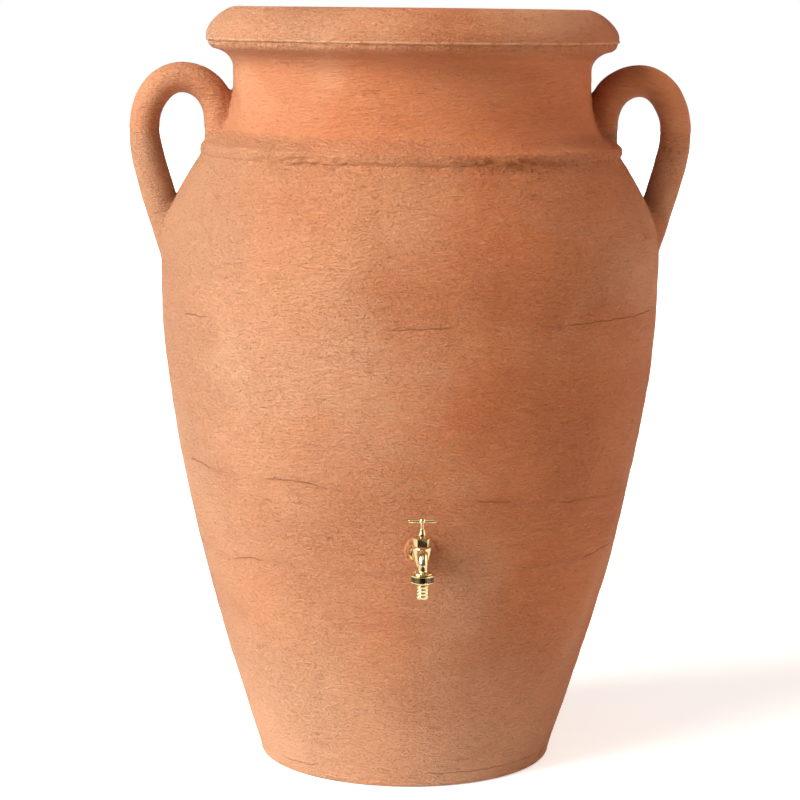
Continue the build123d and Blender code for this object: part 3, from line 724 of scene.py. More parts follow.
@dataclass(frozen=True)
class LidFinish:
    """Plain moulded plastic of the lid, with a light sand grain."""

    name: str = "lid_plastic"
    base: Colour = (0.60, 0.225, 0.105, 1)
    worn: Colour = (0.74, 0.36, 0.20, 1)
    roughness: float = 0.5

    def build(self, effects: Effects) -> bpy.types.Material:
        """Build the material.

        Args:
            effects: The shared surface effects.

        Returns:
            The material.
        """
        material, graph, shader, place = start_material(self.name)
        grain = graph.group(effects.grain, Vector=place, Scale=420.0)
        dust = graph.group(effects.dust, Vector=place, Scale=7.0, Low=0.45, High=0.75)
        colour = graph.blend(graph.times(dust.outputs[0], 0.35), self.base, self.worn)
        colour = graph.blend(graph.times(grain.outputs["Speckle"], 0.12), colour, self.worn)
        graph.feed(shader.inputs["Base Color"], colour)
        graph.feed(shader.inputs["Roughness"],
                   graph.plus(self.roughness, graph.times(dust.outputs[0], 0.15)))
        graph.feed(shader.inputs["Normal"], graph.bump(grain.outputs["Height"], 0.0008, 0.45))
        return material


@dataclass(frozen=True)
class MetalFinish:
    """Turned and polished metal with fine wear, and painted shade over the grip band when one is given."""

    name: str
    base: Colour
    tarnish: Colour
    roughness: float
    scratch_scale: float = 900.0
    grip: tuple[float, float] | None = None
    grip_shade: Colour = (0.10, 0.075, 0.035, 1)

    def build(self, effects: Effects) -> bpy.types.Material:
        """Build the material.

        Args:
            effects: The shared surface effects.

        Returns:
            The material.
        """
        material, graph, shader, place = start_material(self.name)
        clouds = graph.noise(place, 95.0, detail=3.0, distortion=0.5)
        lines = graph.noise(graph.stretch(place, (0.25, 0.25, 1.0)), self.scratch_scale, detail=2.0)
        grain = graph.group(effects.grain, Vector=place, Scale=2600.0)
        stain = graph.span(clouds, 0.5, 0.72)
        colour = graph.blend(graph.times(stain, 0.5), self.base, self.tarnish)
        # Painted shade: the knurled grip band is darkened as if it lay in shadow.
        if self.grip:
            held = graph.group(effects.band, Vector=place, Low=self.grip[0], High=self.grip[1], Soft=0.0006)
            colour = graph.blend(graph.times(held.outputs[0], 0.85), colour, self.grip_shade)
        graph.feed(shader.inputs["Base Color"], colour)
        rough = graph.plus(self.roughness, graph.times(stain, 0.14))
        rough = graph.plus(rough, graph.times(grain.outputs["Speckle"], 0.05))
        graph.feed(shader.inputs["Roughness"], rough)
        shader.inputs["Metallic"].default_value = 1.0
        graph.feed(shader.inputs["Normal"], graph.bump(lines, 0.00004, 0.35))
        return material


@dataclass(frozen=True)
class SealFinish:
    """Matt sealing material: rubber or pressed fibre."""

    name: str
    base: Colour
    fleck: Colour
    roughness: float
    flecks: float

    def build(self, effects: Effects) -> bpy.types.Material:
        """Build the material.

        Args:
            effects: The shared surface effects.

        Returns:
            The material.
        """
        material, graph, shader, place = start_material(self.name)
        grain = graph.group(effects.grain, Vector=place, Scale=1600.0)
        graph.feed(shader.inputs["Base Color"],
                   graph.blend(graph.times(grain.outputs["Speckle"], self.flecks), self.base, self.fleck))
        graph.feed(shader.inputs["Roughness"],
                   graph.plus(self.roughness, graph.times(grain.outputs["Height"], 0.1)))
        graph.feed(shader.inputs["Normal"], graph.bump(grain.outputs["Height"], 0.0002, 0.4))
        return material


class Finishes:
    """Every material of the object, built once."""

    def __init__(self) -> None:
        """Build the effects and the materials."""
        effects = Effects()
        self.terracotta = TerracottaFinish().build(effects)
        self.lid = LidFinish().build(effects)
        brass, tarnish = (0.86, 0.70, 0.40, 1), (0.50, 0.37, 0.14, 1)
        self.brass = MetalFinish("brass", brass, tarnish, 0.13).build(effects)
        self.knurled = MetalFinish("brass_knurled", brass, tarnish, 0.13,
                                   grip=(0.3510, 0.3590)).build(effects)
        self.steel = MetalFinish("steel", (0.62, 0.61, 0.59, 1), (0.40, 0.38, 0.35, 1), 0.3).build(effects)
        self.rubber = SealFinish("seal_rubber", (0.018, 0.018, 0.018, 1), (0.06, 0.06, 0.06, 1), 0.6, 0.3
                                 ).build(effects)
        self.fibre = SealFinish("fibre", (0.30, 0.10, 0.05, 1), (0.48, 0.22, 0.12, 1), 0.75,
                                0.6).build(effects)


# ---- barrel -----------------------------------------------------------------------------------------


def smooth_step(value: float) -> float:
    """Return a value eased from 0 to 1."""
    held = min(max(value, 0.0), 1.0)
    return held * held * (3 - 2 * held)


def curve(points: Sequence[tuple[float, float]], steps: int) -> Outline:
    """Sample a cubic Bezier curve, leaving out its first point.

    Args:
        points: Its four control points.
        steps: Number of points returned.

    Returns:
        The points as radius and height.
    """
    return [bezier(points, step / steps) for step in range(1, steps + 1)]


def straight(start: tuple[float, float], end: tuple[float, float], steps: int) -> Outline:
    """Divide a straight run evenly, leaving out its first point."""
    return [(start[0] + (end[0] - start[0]) * step / steps, start[1] + (end[1] - start[1]) * step / steps)
            for step in range(1, steps + 1)]


def inset(outline: Outline, distance: float) -> Outline:
    """Move an outline sideways to its left.

    Args:
        outline: Points as radius and height.
        distance: How far it moves.

    Returns:
        As many points.
    """
    moved = []
    for place, (radius, height) in enumerate(outline):
        before = outline[max(place - 1, 0)]
        after = outline[min(place + 1, len(outline) - 1)]
        along = Vector((after[0] - before[0], after[1] - before[1])).normalized()
        moved.append((radius - along.y * distance, height + along.x * distance))
    return moved


@dataclass
class Barrel:
    """The hollow moulding: jar, rim, two loop handles and the boss for the tap."""

    finishes: Finishes
    wall: float = 0.005
    foot_radius: float = 0.223
    belly: tuple[float, float] = (0.377, 0.765)
    neck: tuple[float, float] = (0.269, 1.050)
    rim_radius: float = 0.309
    rim_top: float = RIM_TOP
    seat_radius: float = 0.246
    ledge: float = 1.106
    mouth: float = 0.222
    sides: int = 232
    handle_deep: float = 0.024
    handle_wide: float = 0.031
    handle_sides: int = 40
    boss_height: float = INLET_HEIGHT
    boss_radius: float = 0.023
    boss_face: float = BOSS_FACE
    boss_sides: int = 64
    join_reach: float = 0.024
    chipped: tuple[tuple[float, float], ...] = ((-0.52, 0.26), (0.34, 0.2), (1.75, 0.3), (2.8, 0.22),
                                                (-2.2, 0.3))

    def foot_outline(self) -> Outline:
        """Return the base and the rounded heel, from the axis outwards."""
        foot = self.foot_radius
        points = [(0.0, 0.0), (0.044, 0.0), (0.0455, 0.0006), (0.0515, 0.0064), (0.053, 0.007),
                  (0.100, 0.007), (0.147, 0.007), (0.1485, 0.0064), (0.1545, 0.0006), (0.156, 0.0),
                  (0.186, 0.0)]
        heel = [(foot - 0.008 + 0.008 * math.sin(turn), 0.008 - 0.008 * math.cos(turn))
                for turn in (math.radians(18 * step) for step in range(6))]
        return points + heel

    def body_outline(self, share: float = 1.0) -> Outline:
        """Return the outside from the heel to the underside of the rim.

        Args:
            share: Fraction of the full number of rings.

        Returns:
            The points as radius and height.
        """
        foot, belly, neck = self.foot_radius, self.belly, self.neck
        low_ridge, top_ridge = (0.3160, 0.9218), (0.312, 0.940)

        def count(full: int) -> int:
            """Return the number of rings of a stretch."""
            return max(3, round(full * share))

        flank = curve([(foot, 0.008), (0.230, 0.050), (belly[0], 0.427), belly], count(142))
        shoulder = curve([belly, (belly[0], 0.8246), (0.348, 0.8716), low_ridge], count(40))
        crest = curve([low_ridge, (0.3196, 0.9250), (0.3201, 0.9385), top_ridge], count(9))
        rise = curve([top_ridge, (0.2828, 0.9455), (neck[0], 0.973), neck], count(32))
        cove = curve([neck, (neck[0], 1.0620), (0.2790, 1.0750), (0.2960, 1.0782)], count(14))
        cove += curve([(0.2960, 1.0782), (0.3010, 1.0791), (0.3052, 1.0835), (0.3062, 1.0880)], count(6))
        return flank + shoulder + crest + rise + cove

    def rim_outline(self) -> Outline:
        """Return the rim's band, its rounded corner, the top, the lid's seat and the ledge."""
        lip = [(0.3060, 1.0896), (0.3064, 1.0906), (0.3088, 1.0914), (0.3096, 1.0924), (0.3090, 1.0936),
               (0.3086, 1.0952), (self.rim_radius, 1.0975)]
        corner = curve([lip[-1], (self.rim_radius, 1.1164), (0.2785, self.rim_top), (0.262, self.rim_top)],
                       20)
        top = straight(corner[-1], (self.seat_radius + 0.005, self.rim_top), 3)
        edge = [(self.seat_radius + 0.005 * (1 - math.sin(turn)), self.rim_top - 0.005 * (1 - math.cos(turn)))
                for turn in (math.radians(30 * step) for step in (1, 2, 3))]
        seat = straight(edge[-1], (self.seat_radius, self.ledge + 0.001), 5)
        ledge = [(self.seat_radius - 0.0007, self.ledge), (0.234, self.ledge),
                 (self.mouth + 0.0008, self.ledge), (self.mouth, self.ledge - 0.0008)]
        return lip + corner + top + edge + seat + ledge

    def outside(self) -> bpy.types.Object:
        """Return the outside of the jar as a solid that is closed across the mouth."""
        outline = self.foot_outline() + self.body_outline() + self.rim_outline()
        outline += [(self.mouth, self.ledge - 0.020), (0.0, self.ledge - 0.020)]
        return lathe("barrel_moulding", outline, self.sides)

    def inside(self) -> bpy.types.Object:
        """Return the hollow of the jar and of its rim as a solid."""
        wall = self.wall
        base = [(0.0, wall), (0.043, wall), (0.050, 0.012), (0.150, 0.012), (0.157, wall), (0.215, wall),
                (0.218, 0.0085)]
        body = inset([(self.foot_radius, 0.008)] + self.body_outline(0.16), wall)[1:]
        under = self.rim_top - wall
        rim = [(0.304, 1.0975)] + curve([(0.304, 1.0975), (0.304, 1.1130), (0.2765, under), (0.262, under)],
                                        7)
        rim += [(self.seat_radius + wall, under), (self.seat_radius + wall, self.ledge - wall),
                (self.mouth - 0.001, self.ledge - wall), (0.0, self.ledge - wall)]
        return lathe("barrel_hollow", base + body + rim, 96)

    def handle_stations(self) -> list[Station]:
        """Return the cross-sections of the right handle, from inside the neck round to the shoulder."""
        start, root, top = (0.287, 0.909), (0.287, 0.972), (0.345, 1.034)
        brow, foot = (0.401, 0.958), (0.352, 0.769)
        line = [start] + straight(start, root, 12)
        line += curve([root, (0.287, 1.0061), (0.3131, 1.034), top], 20)
        line += curve([top, (0.3758, 1.034), (0.401, 0.9998), brow], 20)
        line += curve([brow, (brow[0], 0.9126), (0.375, 0.8484), foot], 38)
        places = [Vector(point) for point in line]
        stations = []
        for number, here in enumerate(places):
            along = places[min(number + 1, len(places) - 1)] - places[max(number - 1, 0)]
            stations.append(self.station(here, along, number / (len(places) - 1)))
        return stations

    def station(self, place: Vector, along: Vector, share: float) -> Station:
        """Return one cross-section, swelling a little like hand-rolled clay."""
        flare = smooth_step((0.34 - share) / 0.20) + smooth_step((share - 0.72) / 0.28)
        swell = 1 + 0.02 * math.sin(share * 9.0) - 0.015 * math.sin(share * 23.0) + 0.07 * flare
        return Station(place.x, place.y, math.atan2(along.y, along.x), self.handle_deep * swell,
                       self.handle_wide * (1 + 0.02 * math.sin(share * 7.0 + 1) + 0.06 * flare))

    def handles(self) -> list[bpy.types.Object]:
        """Return the two loop handles as solid bars."""
        right = bar("right_handle", self.handle_stations(), self.handle_sides)
        deselect()
        activate(right)
        bpy.ops.object.duplicate()
        left = bpy.context.object
        left.name = "left_handle"
        settle(left, Matrix.Rotation(math.pi, 4, "Z"))
        return [right, left]

    def boss(self) -> bpy.types.Object:
        """Return the round boss that carries the tap's insert."""
        face, radius = self.boss_face, self.boss_radius
        outline = [(0.0, face - 0.030), (radius, face - 0.030), (radius, face - 0.010),
                   (radius, face - 0.003)]
        outline += [(radius - 0.003 * (1 - math.cos(turn)), face - 0.003 + 0.003 * math.sin(turn))
                    for turn in (math.radians(18 * step) for step in range(1, 6))]
        outline += [(0.016, face), (0.0, face)]
        return settle(lathe("boss", outline, self.boss_sides), self.boss_axis())

    def pocket(self) -> bpy.types.Object:
        """Return the pocket for the insert, cut from the boss, with the bore behind it."""
        face = self.boss_face
        outline = [(0.0, face - 0.034), (0.010, face - 0.034), (0.010, face - 0.024), (0.016, face - 0.024),
                   (0.016, face - 0.016), (0.014, face - 0.016), (0.014, face - 0.008), (0.016, face - 0.008),
                   (0.016, face + 0.001), (0.0, face + 0.001)]
        return settle(lathe("pocket", outline, self.boss_sides), self.boss_axis())

    def boss_axis(self) -> Matrix:
        """Return the axis of the boss, along which height is distance from the barrel's axis."""
        return Matrix.Translation((0, 0, self.boss_height)) @ Matrix.Rotation(math.pi / 2, 4, "X")

    def group_by_seam(self, piece: bpy.types.Object) -> bpy.types.VertexGroup:
        """Weight the vertices near the seams between the jar and what is joined to it.

        Args:
            piece: The joined mesh; its parts still have different material numbers.

        Returns:
            The new vertex group.
        """
        mesh = piece.data
        kinds: list[set[int]] = [set() for _ in mesh.vertices]
        for face in mesh.polygons:
            for vertex in face.vertices:
                kinds[vertex].add(face.material_index)
        seam = [mesh.vertices[number].co.copy() for number, found in enumerate(kinds) if len(found) > 1]
        tree = KDTree(len(seam))
        for number, place in enumerate(seam):
            tree.insert(place, number)
        tree.balance()
        group = piece.vertex_groups.new(name="seam")
        for vertex in mesh.vertices:
            away = tree.find(vertex.co)[2]
            if away < self.join_reach and vertex.co.z > 0.5:
                group.add([vertex.index], 1 - (away / self.join_reach) ** 2, "REPLACE")
        LOG.info("seam points: %d", len(seam))
        return group

    def weight(self, piece: bpy.types.Object, name: str, rule: Callable[[Vector], float]) -> str:
        """Weight the outer vertices of a mesh by their place.

        Args:
            piece: The mesh.
            name: Name of the vertex group.
            rule: Gives the weight of a vertex from its place.

        Returns:
            The group's name.
        """
        group = piece.vertex_groups.new(name=name)
        for vertex in piece.data.vertices:
            amount = rule(vertex.co)
            if amount > 0:
                group.add([vertex.index], min(amount, 1.0), "REPLACE")
        return name

    def outer_skin(self, place: Vector) -> float:
        """Return 1 where the skin may be uneven, and 0 at the foot, the lid's seat, the mouth and the tap."""
        from_axis = math.hypot(place.x, place.y)
        if place.z > 1.06:
            fade = smooth_step((from_axis - 0.255) / 0.02)
        else:
            fade = smooth_step((place.z - 0.012) / 0.05)
        if place.y < 0:
            near_tap = math.hypot(place.x, place.z - self.boss_height)
            fade *= smooth_step((near_tap - 0.026) / 0.03)
        return fade

    def roughen(self, piece: bpy.types.Object, kind: str, size: float, stretch: tuple[float, float, float],
                strength: float, group: str, middle: float = 0.5, **settings: object) -> None:
        """Push the skin in and out by a texture.

        Args:
            piece: The mesh.
            kind: Blender's texture type.
            size: Size of the texture's features.
            stretch: How much longer they are along each axis.
            strength: Height between the lowest and highest values.
            group: Vertex group that limits it.
            middle: Value of the texture that leaves the skin in place.
            settings: Further texture properties.
        """
        texture = bpy.data.textures.new(f"{piece.name}_{group}", kind)
        texture.noise_scale = size
        for key, value in settings.items():
            setattr(texture, key, value)
        guide = bpy.data.objects.new("guide", None)
        bpy.context.scene.collection.objects.link(guide)
        guide.scale = stretch
        guide.location = (0.37, 0.11, 0.23)
        bpy.context.view_layer.update()
        apply_modifier(piece, "DISPLACE", texture=texture, texture_coords="OBJECT",
                       texture_coords_object=guide, strength=strength, mid_level=middle, vertex_group=group)
        bpy.data.objects.remove(guide)

    def build(self) -> None:
        """Model the moulding and hang it on the frame."""
        shell = self.outside()
        parts = self.handles() + [self.boss()]
        for number, part in enumerate([shell] + parts):
            part.data.materials.append(bpy.data.materials.new(f"seam_{min(number, 1)}"))
        join(shell, parts, material_mode="TRANSFER")
        self.group_by_seam(shell)
        apply_modifier(shell, "SMOOTH", factor=0.5, iterations=14, vertex_group="seam")
        skin = self.weight(shell, "skin", self.outer_skin)
        self.roughen(shell, "CLOUDS", 0.16, (1.6, 1.6, 0.8), 0.0045, skin, noise_depth=1)
        self.roughen(shell, "CLOUDS", 0.030, (2.6, 2.6, 0.7), 0.0014, skin, noise_depth=2)
        self.chip_ridge(shell)
        self.rag_lip(shell)
        cut(shell, [self.inside(), self.well(), self.pocket()])
        shell.vertex_groups.clear()
        tidy_mesh(shell, 1e-6)
        finish_piece(shell, self.finishes.terracotta, "barrel", "barrel_shell", 42)

    def well(self) -> bpy.types.Object:
        """Return the plug that opens the mouth through the ledge."""
        low = self.ledge - 0.030
        return lathe("well", [(0.0, low), (self.mouth, low), (self.mouth, self.ledge + 0.001),
                              (0.0, self.ledge + 0.001)], self.sides)

    def chip_ridge(self, piece: bpy.types.Object) -> None:
        """Break the lower edge of the ridge into small chips."""
        def rule(place: Vector) -> float:
            """Return the weight of the chipped band."""
            if not 0.904 < place.z < 0.936 or math.hypot(place.x, place.y) > 0.35:
                return 0.0
            turn = math.atan2(place.x, -place.y)
            broken = max(1.3 - abs(turn - middle) / reach for middle, reach in self.chipped)
            return ((0.12 + 0.88 * smooth_step(broken)) * smooth_step((place.z - 0.904) / 0.010)
                    * smooth_step((0.937 - place.z) / 0.008))
        chips = self.weight(piece, "ridge", rule)
        self.roughen(piece, "CLOUDS", 0.007, (1.5, 1.5, 0.9), 0.017, chips, middle=0.58, noise_depth=3)

    def rag_lip(self, piece: bpy.types.Object) -> None:
        """Make the moulding's flash line under the rim uneven."""
        def rule(place: Vector) -> float:
            """Return the weight of the flash line."""
            if not 1.0780 < place.z < 1.0965 or math.hypot(place.x, place.y) < 0.293:
                return 0.0
            return 1 - abs(place.z - 1.0885) / 0.0105
        lip = self.weight(piece, "lip", rule)
        self.roughen(piece, "CLOUDS", 0.008, (1.7, 1.7, 0.9), 0.0040, lip, noise_depth=2)


# ---- tap --------------------------------------------------------------------------------------------


@dataclass
class Tap:
    """The draw-off tap: casting, headgear, crutch handle and hose union.

    Heights are above the inlet axis; lengths inside the methods are in millimetres.
    """

    finishes: Finishes
    inlet_height: float = INLET_HEIGHT / MM
    face: float = round(BOSS_FACE / MM, 4)
    stem_offset: float = 34.0
    spout_offset: float = 59.0

    def valve_axis(self) -> Matrix:
        """Return the place of the valve axis."""
        return Matrix.Translation((0, -(self.face + self.stem_offset) * MM, self.inlet_height * MM))

    def spout_axis(self) -> Matrix:
        """Return the place of the outlet axis."""
        return Matrix.Translation((0, -(self.face + self.spout_offset) * MM, self.inlet_height * MM))

    def inlet_axis(self) -> Matrix:
        """Return the place of the inlet axis, along which height is distance from the barrel's axis."""
        return Matrix.Translation((0, 0, self.inlet_height * MM)) @ Matrix.Rotation(math.pi / 2, 4, "X")

    @staticmethod
    def turned(name: str, outline: Outline, sides: int, place: Matrix) -> bpy.types.Object:
        """Turn an outline in millimetres and put it in place."""
        return settle(lathe(name, [(radius * MM, height * MM) for radius, height in outline], sides), place)

    @staticmethod
    def prism(name: str, flats: float, low: float, high: float, place: Matrix, soft: float = 0.4
              ) -> bpy.types.Object:
        """Make a hexagonal bar with softened edges.

        Args:
            name: Name of the piece.
            flats: Width across flats in millimetres.
            low: Its lower end.
            high: Its upper end.
            place: Axis that it stands on.
            soft: Width of the edge bevels in millimetres.

        Returns:
            The bar, one flat facing the front.
        """
        deselect()
        bpy.ops.mesh.primitive_cylinder_add(vertices=6, radius=flats / 2 / math.cos(math.pi / 6) * MM,
                                            depth=(high - low) * MM, location=(0, 0, (low + high) / 2 * MM),
                                            rotation=(0, 0, math.pi / 6))
        piece = bpy.context.object
        piece.name = piece.data.name = name
        settle(piece)
        if soft:
            apply_modifier(piece, "BEVEL", width=soft * MM, segments=2, limit_method="ANGLE")
        return settle(piece, place)

    def build(self) -> None:
        """Model every visible piece of the tap and dress the hidden ones."""
        self.casting()
        self.bonnet()
        self.gland_nut()
        self.spindle()
        self.crutch_handle()
        self.union_nut()
        self.hose_tail()
        for name, material in (("tap_insert", self.finishes.brass), ("inlet_washer", self.finishes.fibre),
                               ("bonnet_washer", self.finishes.fibre), ("packing_ring", self.finishes.rubber),
                               ("jumper", self.finishes.brass), ("jumper_washer", self.finishes.rubber),
                               ("jumper_nut", self.finishes.brass), ("grub_screw", self.finishes.steel),
                               ("union_washer", self.finishes.rubber)):
            dress(name, material)

    def casting(self) -> None:
        """Model the tap body: inlet, shoulder, valve chamber, spout and outlet, run together as one."""
        valve = self.face + self.stem_offset
        neck_end = self.face + 7.0
        spread = [(9.5 + 2.6 * (1 - step / 5) ** 2, neck_end + 4.0 * step / 5) for step in range(6)]
        inlet = [(0, neck_end - 1)] + [(12.1, neck_end - 1)] + spread + [(9.5, valve), (0, valve)]
        body = self.turned("tap_casting", inlet, 64, self.inlet_axis())
        bowl = [(0, -14.0), (5.0, -14.0), (6.4, -13.7), (7.4, -13.0)]
        bowl += curve([(7.4, -13.0), (8.8, -8.5), (11.6, -1.0), (13.4, 9.0)], 14)
        bowl += [(13.7, 11.0), (13.8, 13.0), (13.8, 14.6), (13.5, 15.0), (0, 15.0)]
        chamber = self.turned("chamber", bowl, 72, self.valve_axis())
        spout = self.spout()
        outlet = [(0, -14.0), (6.2, -14.0), (7.6, -15.0), (9.6, -15.9), (13.6, -16.0), (14.0, -16.4),
                  (14.0, -18.1), (13.6, -18.5), (12.6, -18.5), (12.6, -19.2), (0, -19.2)]
        flange = self.turned("outlet_flange", outlet, 72, self.spout_axis())
        join(body, [chamber, spout, flange])
        apply_modifier(body, "REMESH", mode="VOXEL", voxel_size=0.00055, use_smooth_shade=True)
        apply_modifier(body, "SMOOTH", factor=0.5, iterations=6)
        hexagon = self.prism("shoulder", 27.0, self.face + 2.0, self.face + 7.0, self.inlet_axis(), 0.6)
        thread = self.turned("inlet_thread", self.thread(10.0, self.face - 16.0, self.face + 2.5, 1.81,
                                                         0.55), 48, self.inlet_axis())
        outlet_thread = self.turned("outlet_thread", self.thread(12.6, -25.5, -18.0, 1.81, 0.6), 64,
                                    self.spout_axis())
        join(body, [hexagon, thread, outlet_thread])
        cavity = [(0, -11.0), (5.2, -11.0), (7.6, -0.5), (6.0, -0.5), (6.0, 2.5), (8.6, 2.5), (8.6, 11.4),
                  (10.5, 11.4), (10.5, 16.0), (0, 16.0)]
        cut(body, [
            self.turned("cavity", cavity, 64, self.valve_axis()),
            self.turned("inlet_bore", [(0, self.face - 17.0), (6.5, self.face - 17.0), (6.5, neck_end),
                                       (0, neck_end)], 48, self.inlet_axis()),
            self.turned("port", [(0, neck_end - 2.4), (4.8, neck_end - 2.4), (4.8, valve), (0, valve)], 32,
                        Matrix.Translation((0, 0, -5.5 * MM)) @ self.inlet_axis()),
            self.turned("outlet_bore", [(0, -26.5), (4.6, -26.5), (4.6, -12.0), (0, -12.0)], 40,
                        self.spout_axis())])
        finish_piece(body, self.finishes.brass, "barrel", "tap_body", 38)

    @staticmethod
    def thread(radius: float, low: float, high: float, pitch: float, deep: float) -> Outline:
        """Return the outline of a threaded length drawn as rings.

        Args:
            radius: Radius of the crests.
            low: Lower end.
            high: Upper end.
            pitch: Distance between crests.
            deep: Depth of the roots.

        Returns:
            The outline in millimetres, closed on the axis.
        """
        outline = [(0, low), (radius - deep, low)]
        height = low + 0.3
        while height + pitch < high:
            outline += [(radius - deep, height), (radius, height + 0.45 * pitch),
                        (radius, height + 0.55 * pitch)]
            height += pitch
        return outline + [(radius - deep, height), (radius - deep, high), (0, high)]

    def spout(self) -> bpy.types.Object:
        """Return the spout: a round bar that leaves the chamber, bends and runs down to the outlet."""
        level, reach, bend, foot = 7.5, 25.0, 16.0, -15.0
        points = [(step * 1.8, level, 0.0) for step in range(5)]
        for step in range(1, 17):
            turn = math.pi / 2 * step / 16
            points.append((reach - bend + bend * math.sin(turn), level - bend + bend * math.cos(turn), -turn))
        points += [(reach, level - bend - step * 1.3, -math.pi / 2) for step in range(1, 6)]
        points.append((reach, foot, -math.pi / 2))
        count = len(points) - 1
        stations = [Station(x * MM, z * MM, heading, (8.6 - 2.2 * number / count) * MM,
                            (8.0 - 1.6 * number / count) * MM)
                    for number, (x, z, heading) in enumerate(points)]
        piece = bar("spout", stations, 48)
        return settle(piece, self.valve_axis() @ Matrix.Rotation(-math.pi / 2, 4, "Z"))

    def bonnet(self) -> None:
        """Model the hexagonal headpiece with its turned-off corners and stuffing box."""
        corner = 12.0 / math.cos(math.pi / 6)
        piece = self.prism("tap_bonnet", 24.0, 16.5, 29.0, self.valve_axis(), 0.0)
        turning = [(0, 16.4), (12.6, 16.4), (corner + 0.1, 17.2), (corner + 0.1, 27.0), (13.0, 27.9),
                   (12.0, 28.6), (11.4, 29.0), (0, 29.0)]
        outer = self.turned("turning", turning, 96, self.valve_axis())
        apply_modifier(piece, "BOOLEAN", operation="INTERSECT", solver="EXACT", object=outer)
        bpy.data.objects.remove(outer)
        apply_modifier(piece, "BEVEL", width=0.25 * MM, segments=2, limit_method="ANGLE",
                       angle_limit=math.radians(25))
        spigot = self.turned("spigot", self.thread(10.4, 11.6, 17.0, 1.2, 0.4), 64, self.valve_axis())
        join(piece, [spigot])
        bore = self.turned("bore", [(0, 11.0), (4.1, 11.0), (4.1, 21.8), (2.6, 21.8), (2.6, 23.0),
                                    (4.8, 23.0), (4.8, 28.7), (5.1, 29.1), (0, 29.1)], 48, self.valve_axis())
        cut(piece, [bore])
        finish_piece(piece, self.finishes.brass, "barrel", "bonnet", 30)

    def gland_nut(self) -> None:
        """Model the gland nut: threaded foot, small hexagon and a tapering, softly rounded top."""
        piece = self.prism("gland_nut", 10.0, 29.6, 33.8, self.valve_axis(), 0.3)
        upper = [(0, 33.0), (5.0, 33.0), (5.15, 33.8), (4.9, 34.4)]
        upper += curve([(4.9, 34.4), (4.5, 36.4), (4.0, 38.0), (3.8, 40.0)], 8)
        upper += [(3.7, 40.4), (3.4, 40.6), (0, 40.6)]
        foot = self.thread(4.7, 26.0, 30.0, 1.0, 0.35)
        join(piece, [self.turned("gland_cone", upper, 64, self.valve_axis()),
                     self.turned("gland_foot", foot, 48, self.valve_axis())])
        bore = self.turned("gland_bore", [(0, 25.0), (2.55, 25.0), (2.55, 40.3), (2.85, 40.7), (0, 40.7)], 40,
                           self.valve_axis())
        cut(piece, [bore])
        finish_piece(piece, self.finishes.brass, "barrel", "packing_nut", 35)

    def spindle(self) -> None:
        """Model the spindle: threaded foot, plain stem and square tang."""
        outline = self.thread(4.0, 7.55, 17.55, 1.5, 0.5)[:-1]
        outline += [(2.5, 17.6), (2.5, 47.6), (2.3, 47.8), (0, 47.8)]
        piece = self.turned("tap_spindle", outline, 48, self.valve_axis())
        deselect()
        bpy.ops.mesh.primitive_cube_add(size=3.4 * MM, location=(0, 0, 0))
        tang = bpy.context.object
        settle(tang, Matrix.Diagonal((1, 1, 6.4 / 3.4, 1)))
        apply_modifier(tang, "BEVEL", width=0.2 * MM, segments=2, limit_method="ANGLE")
        settle(tang, self.valve_axis() @ Matrix.Translation((0, 0, 50.57 * MM)))
        join(piece, [tang])
        socket = self.turned("socket", [(0, 7.0), (2.05, 7.0), (2.05, 15.55), (0, 15.55)], 32,
                             self.valve_axis())
        cut(piece, [socket])
        finish_piece(piece, self.finishes.brass, "spindle", "spindle", 35)

    def crutch_handle(self) -> None:
        """Model the crutch handle: a ball with a bar that flares towards its rounded ends."""
        half, end, root, ball = 19.0, 3.0, 2.5, 4.7
        side = [(root, 0.0), (root, 4.2)] + curve([(root, 4.2), (root, 9.0), (2.75, 14.0), (end, 17.2)], 10)
        side += [(end + 0.08, 17.6), (end + 0.08, 18.3), (end - 0.15, 18.8), (end - 0.6, half), (0, half)]
        outline = [(radius, -height) for radius, height in reversed(side)] + side[1:]
        place = self.valve_axis() @ Matrix.Translation((0, 0, 52.0 * MM))
        piece = self.turned("crutch_bar", outline, 48, place @ Matrix.Rotation(math.pi / 2, 4, "Y"))
        arc = [(ball * math.sin(turn), -ball * math.cos(turn)) for turn in
               (math.radians(5 * step) for step in range(37))]
        arc[0], arc[-1] = (0.0, -ball), (0.0, ball)
        hub = self.turned("crutch_hub", arc, 48, place)
        join(piece, [hub])
        seam = self.near(piece, place, 3.6, 6.4)
        apply_modifier(piece, "SMOOTH", factor=0.5, iterations=4, vertex_group=seam)
        flat = self.turned("flat", [(0, -6.0), (5.5, -6.0), (5.5, -4.23), (0, -4.23)], 32, place)
        hole = self.prism("tang_hole", 3.5, -5.0, 1.9, place, 0.0)
        screw = self.turned("grub_hole", [(0, 1.0), (1.25, 1.0), (1.25, 6.0), (0, 6.0)], 24,
                            place @ Matrix.Rotation(-math.pi / 2, 4, "X"))
        cut(piece, (flat, hole, screw))
        finish_piece(piece, self.finishes.brass, "spindle", "crutch_handle", 38)

    @staticmethod
    def near(piece: bpy.types.Object, place: Matrix, low: float, high: float) -> str:
        """Weight the vertices whose distance from a point is in a range.

        Args:
            piece: The mesh.
            place: The point, as a matrix.
            low: Smallest distance in millimetres.
            high: Largest distance in millimetres.

        Returns:
            The vertex group's name.
        """
        group = piece.vertex_groups.new(name="near")
        centre = place.translation
        found = [vertex.index for vertex in piece.data.vertices
                 if low * MM < (vertex.co - centre).length < high * MM]
        group.add(found, 1.0, "REPLACE")
        return group.name

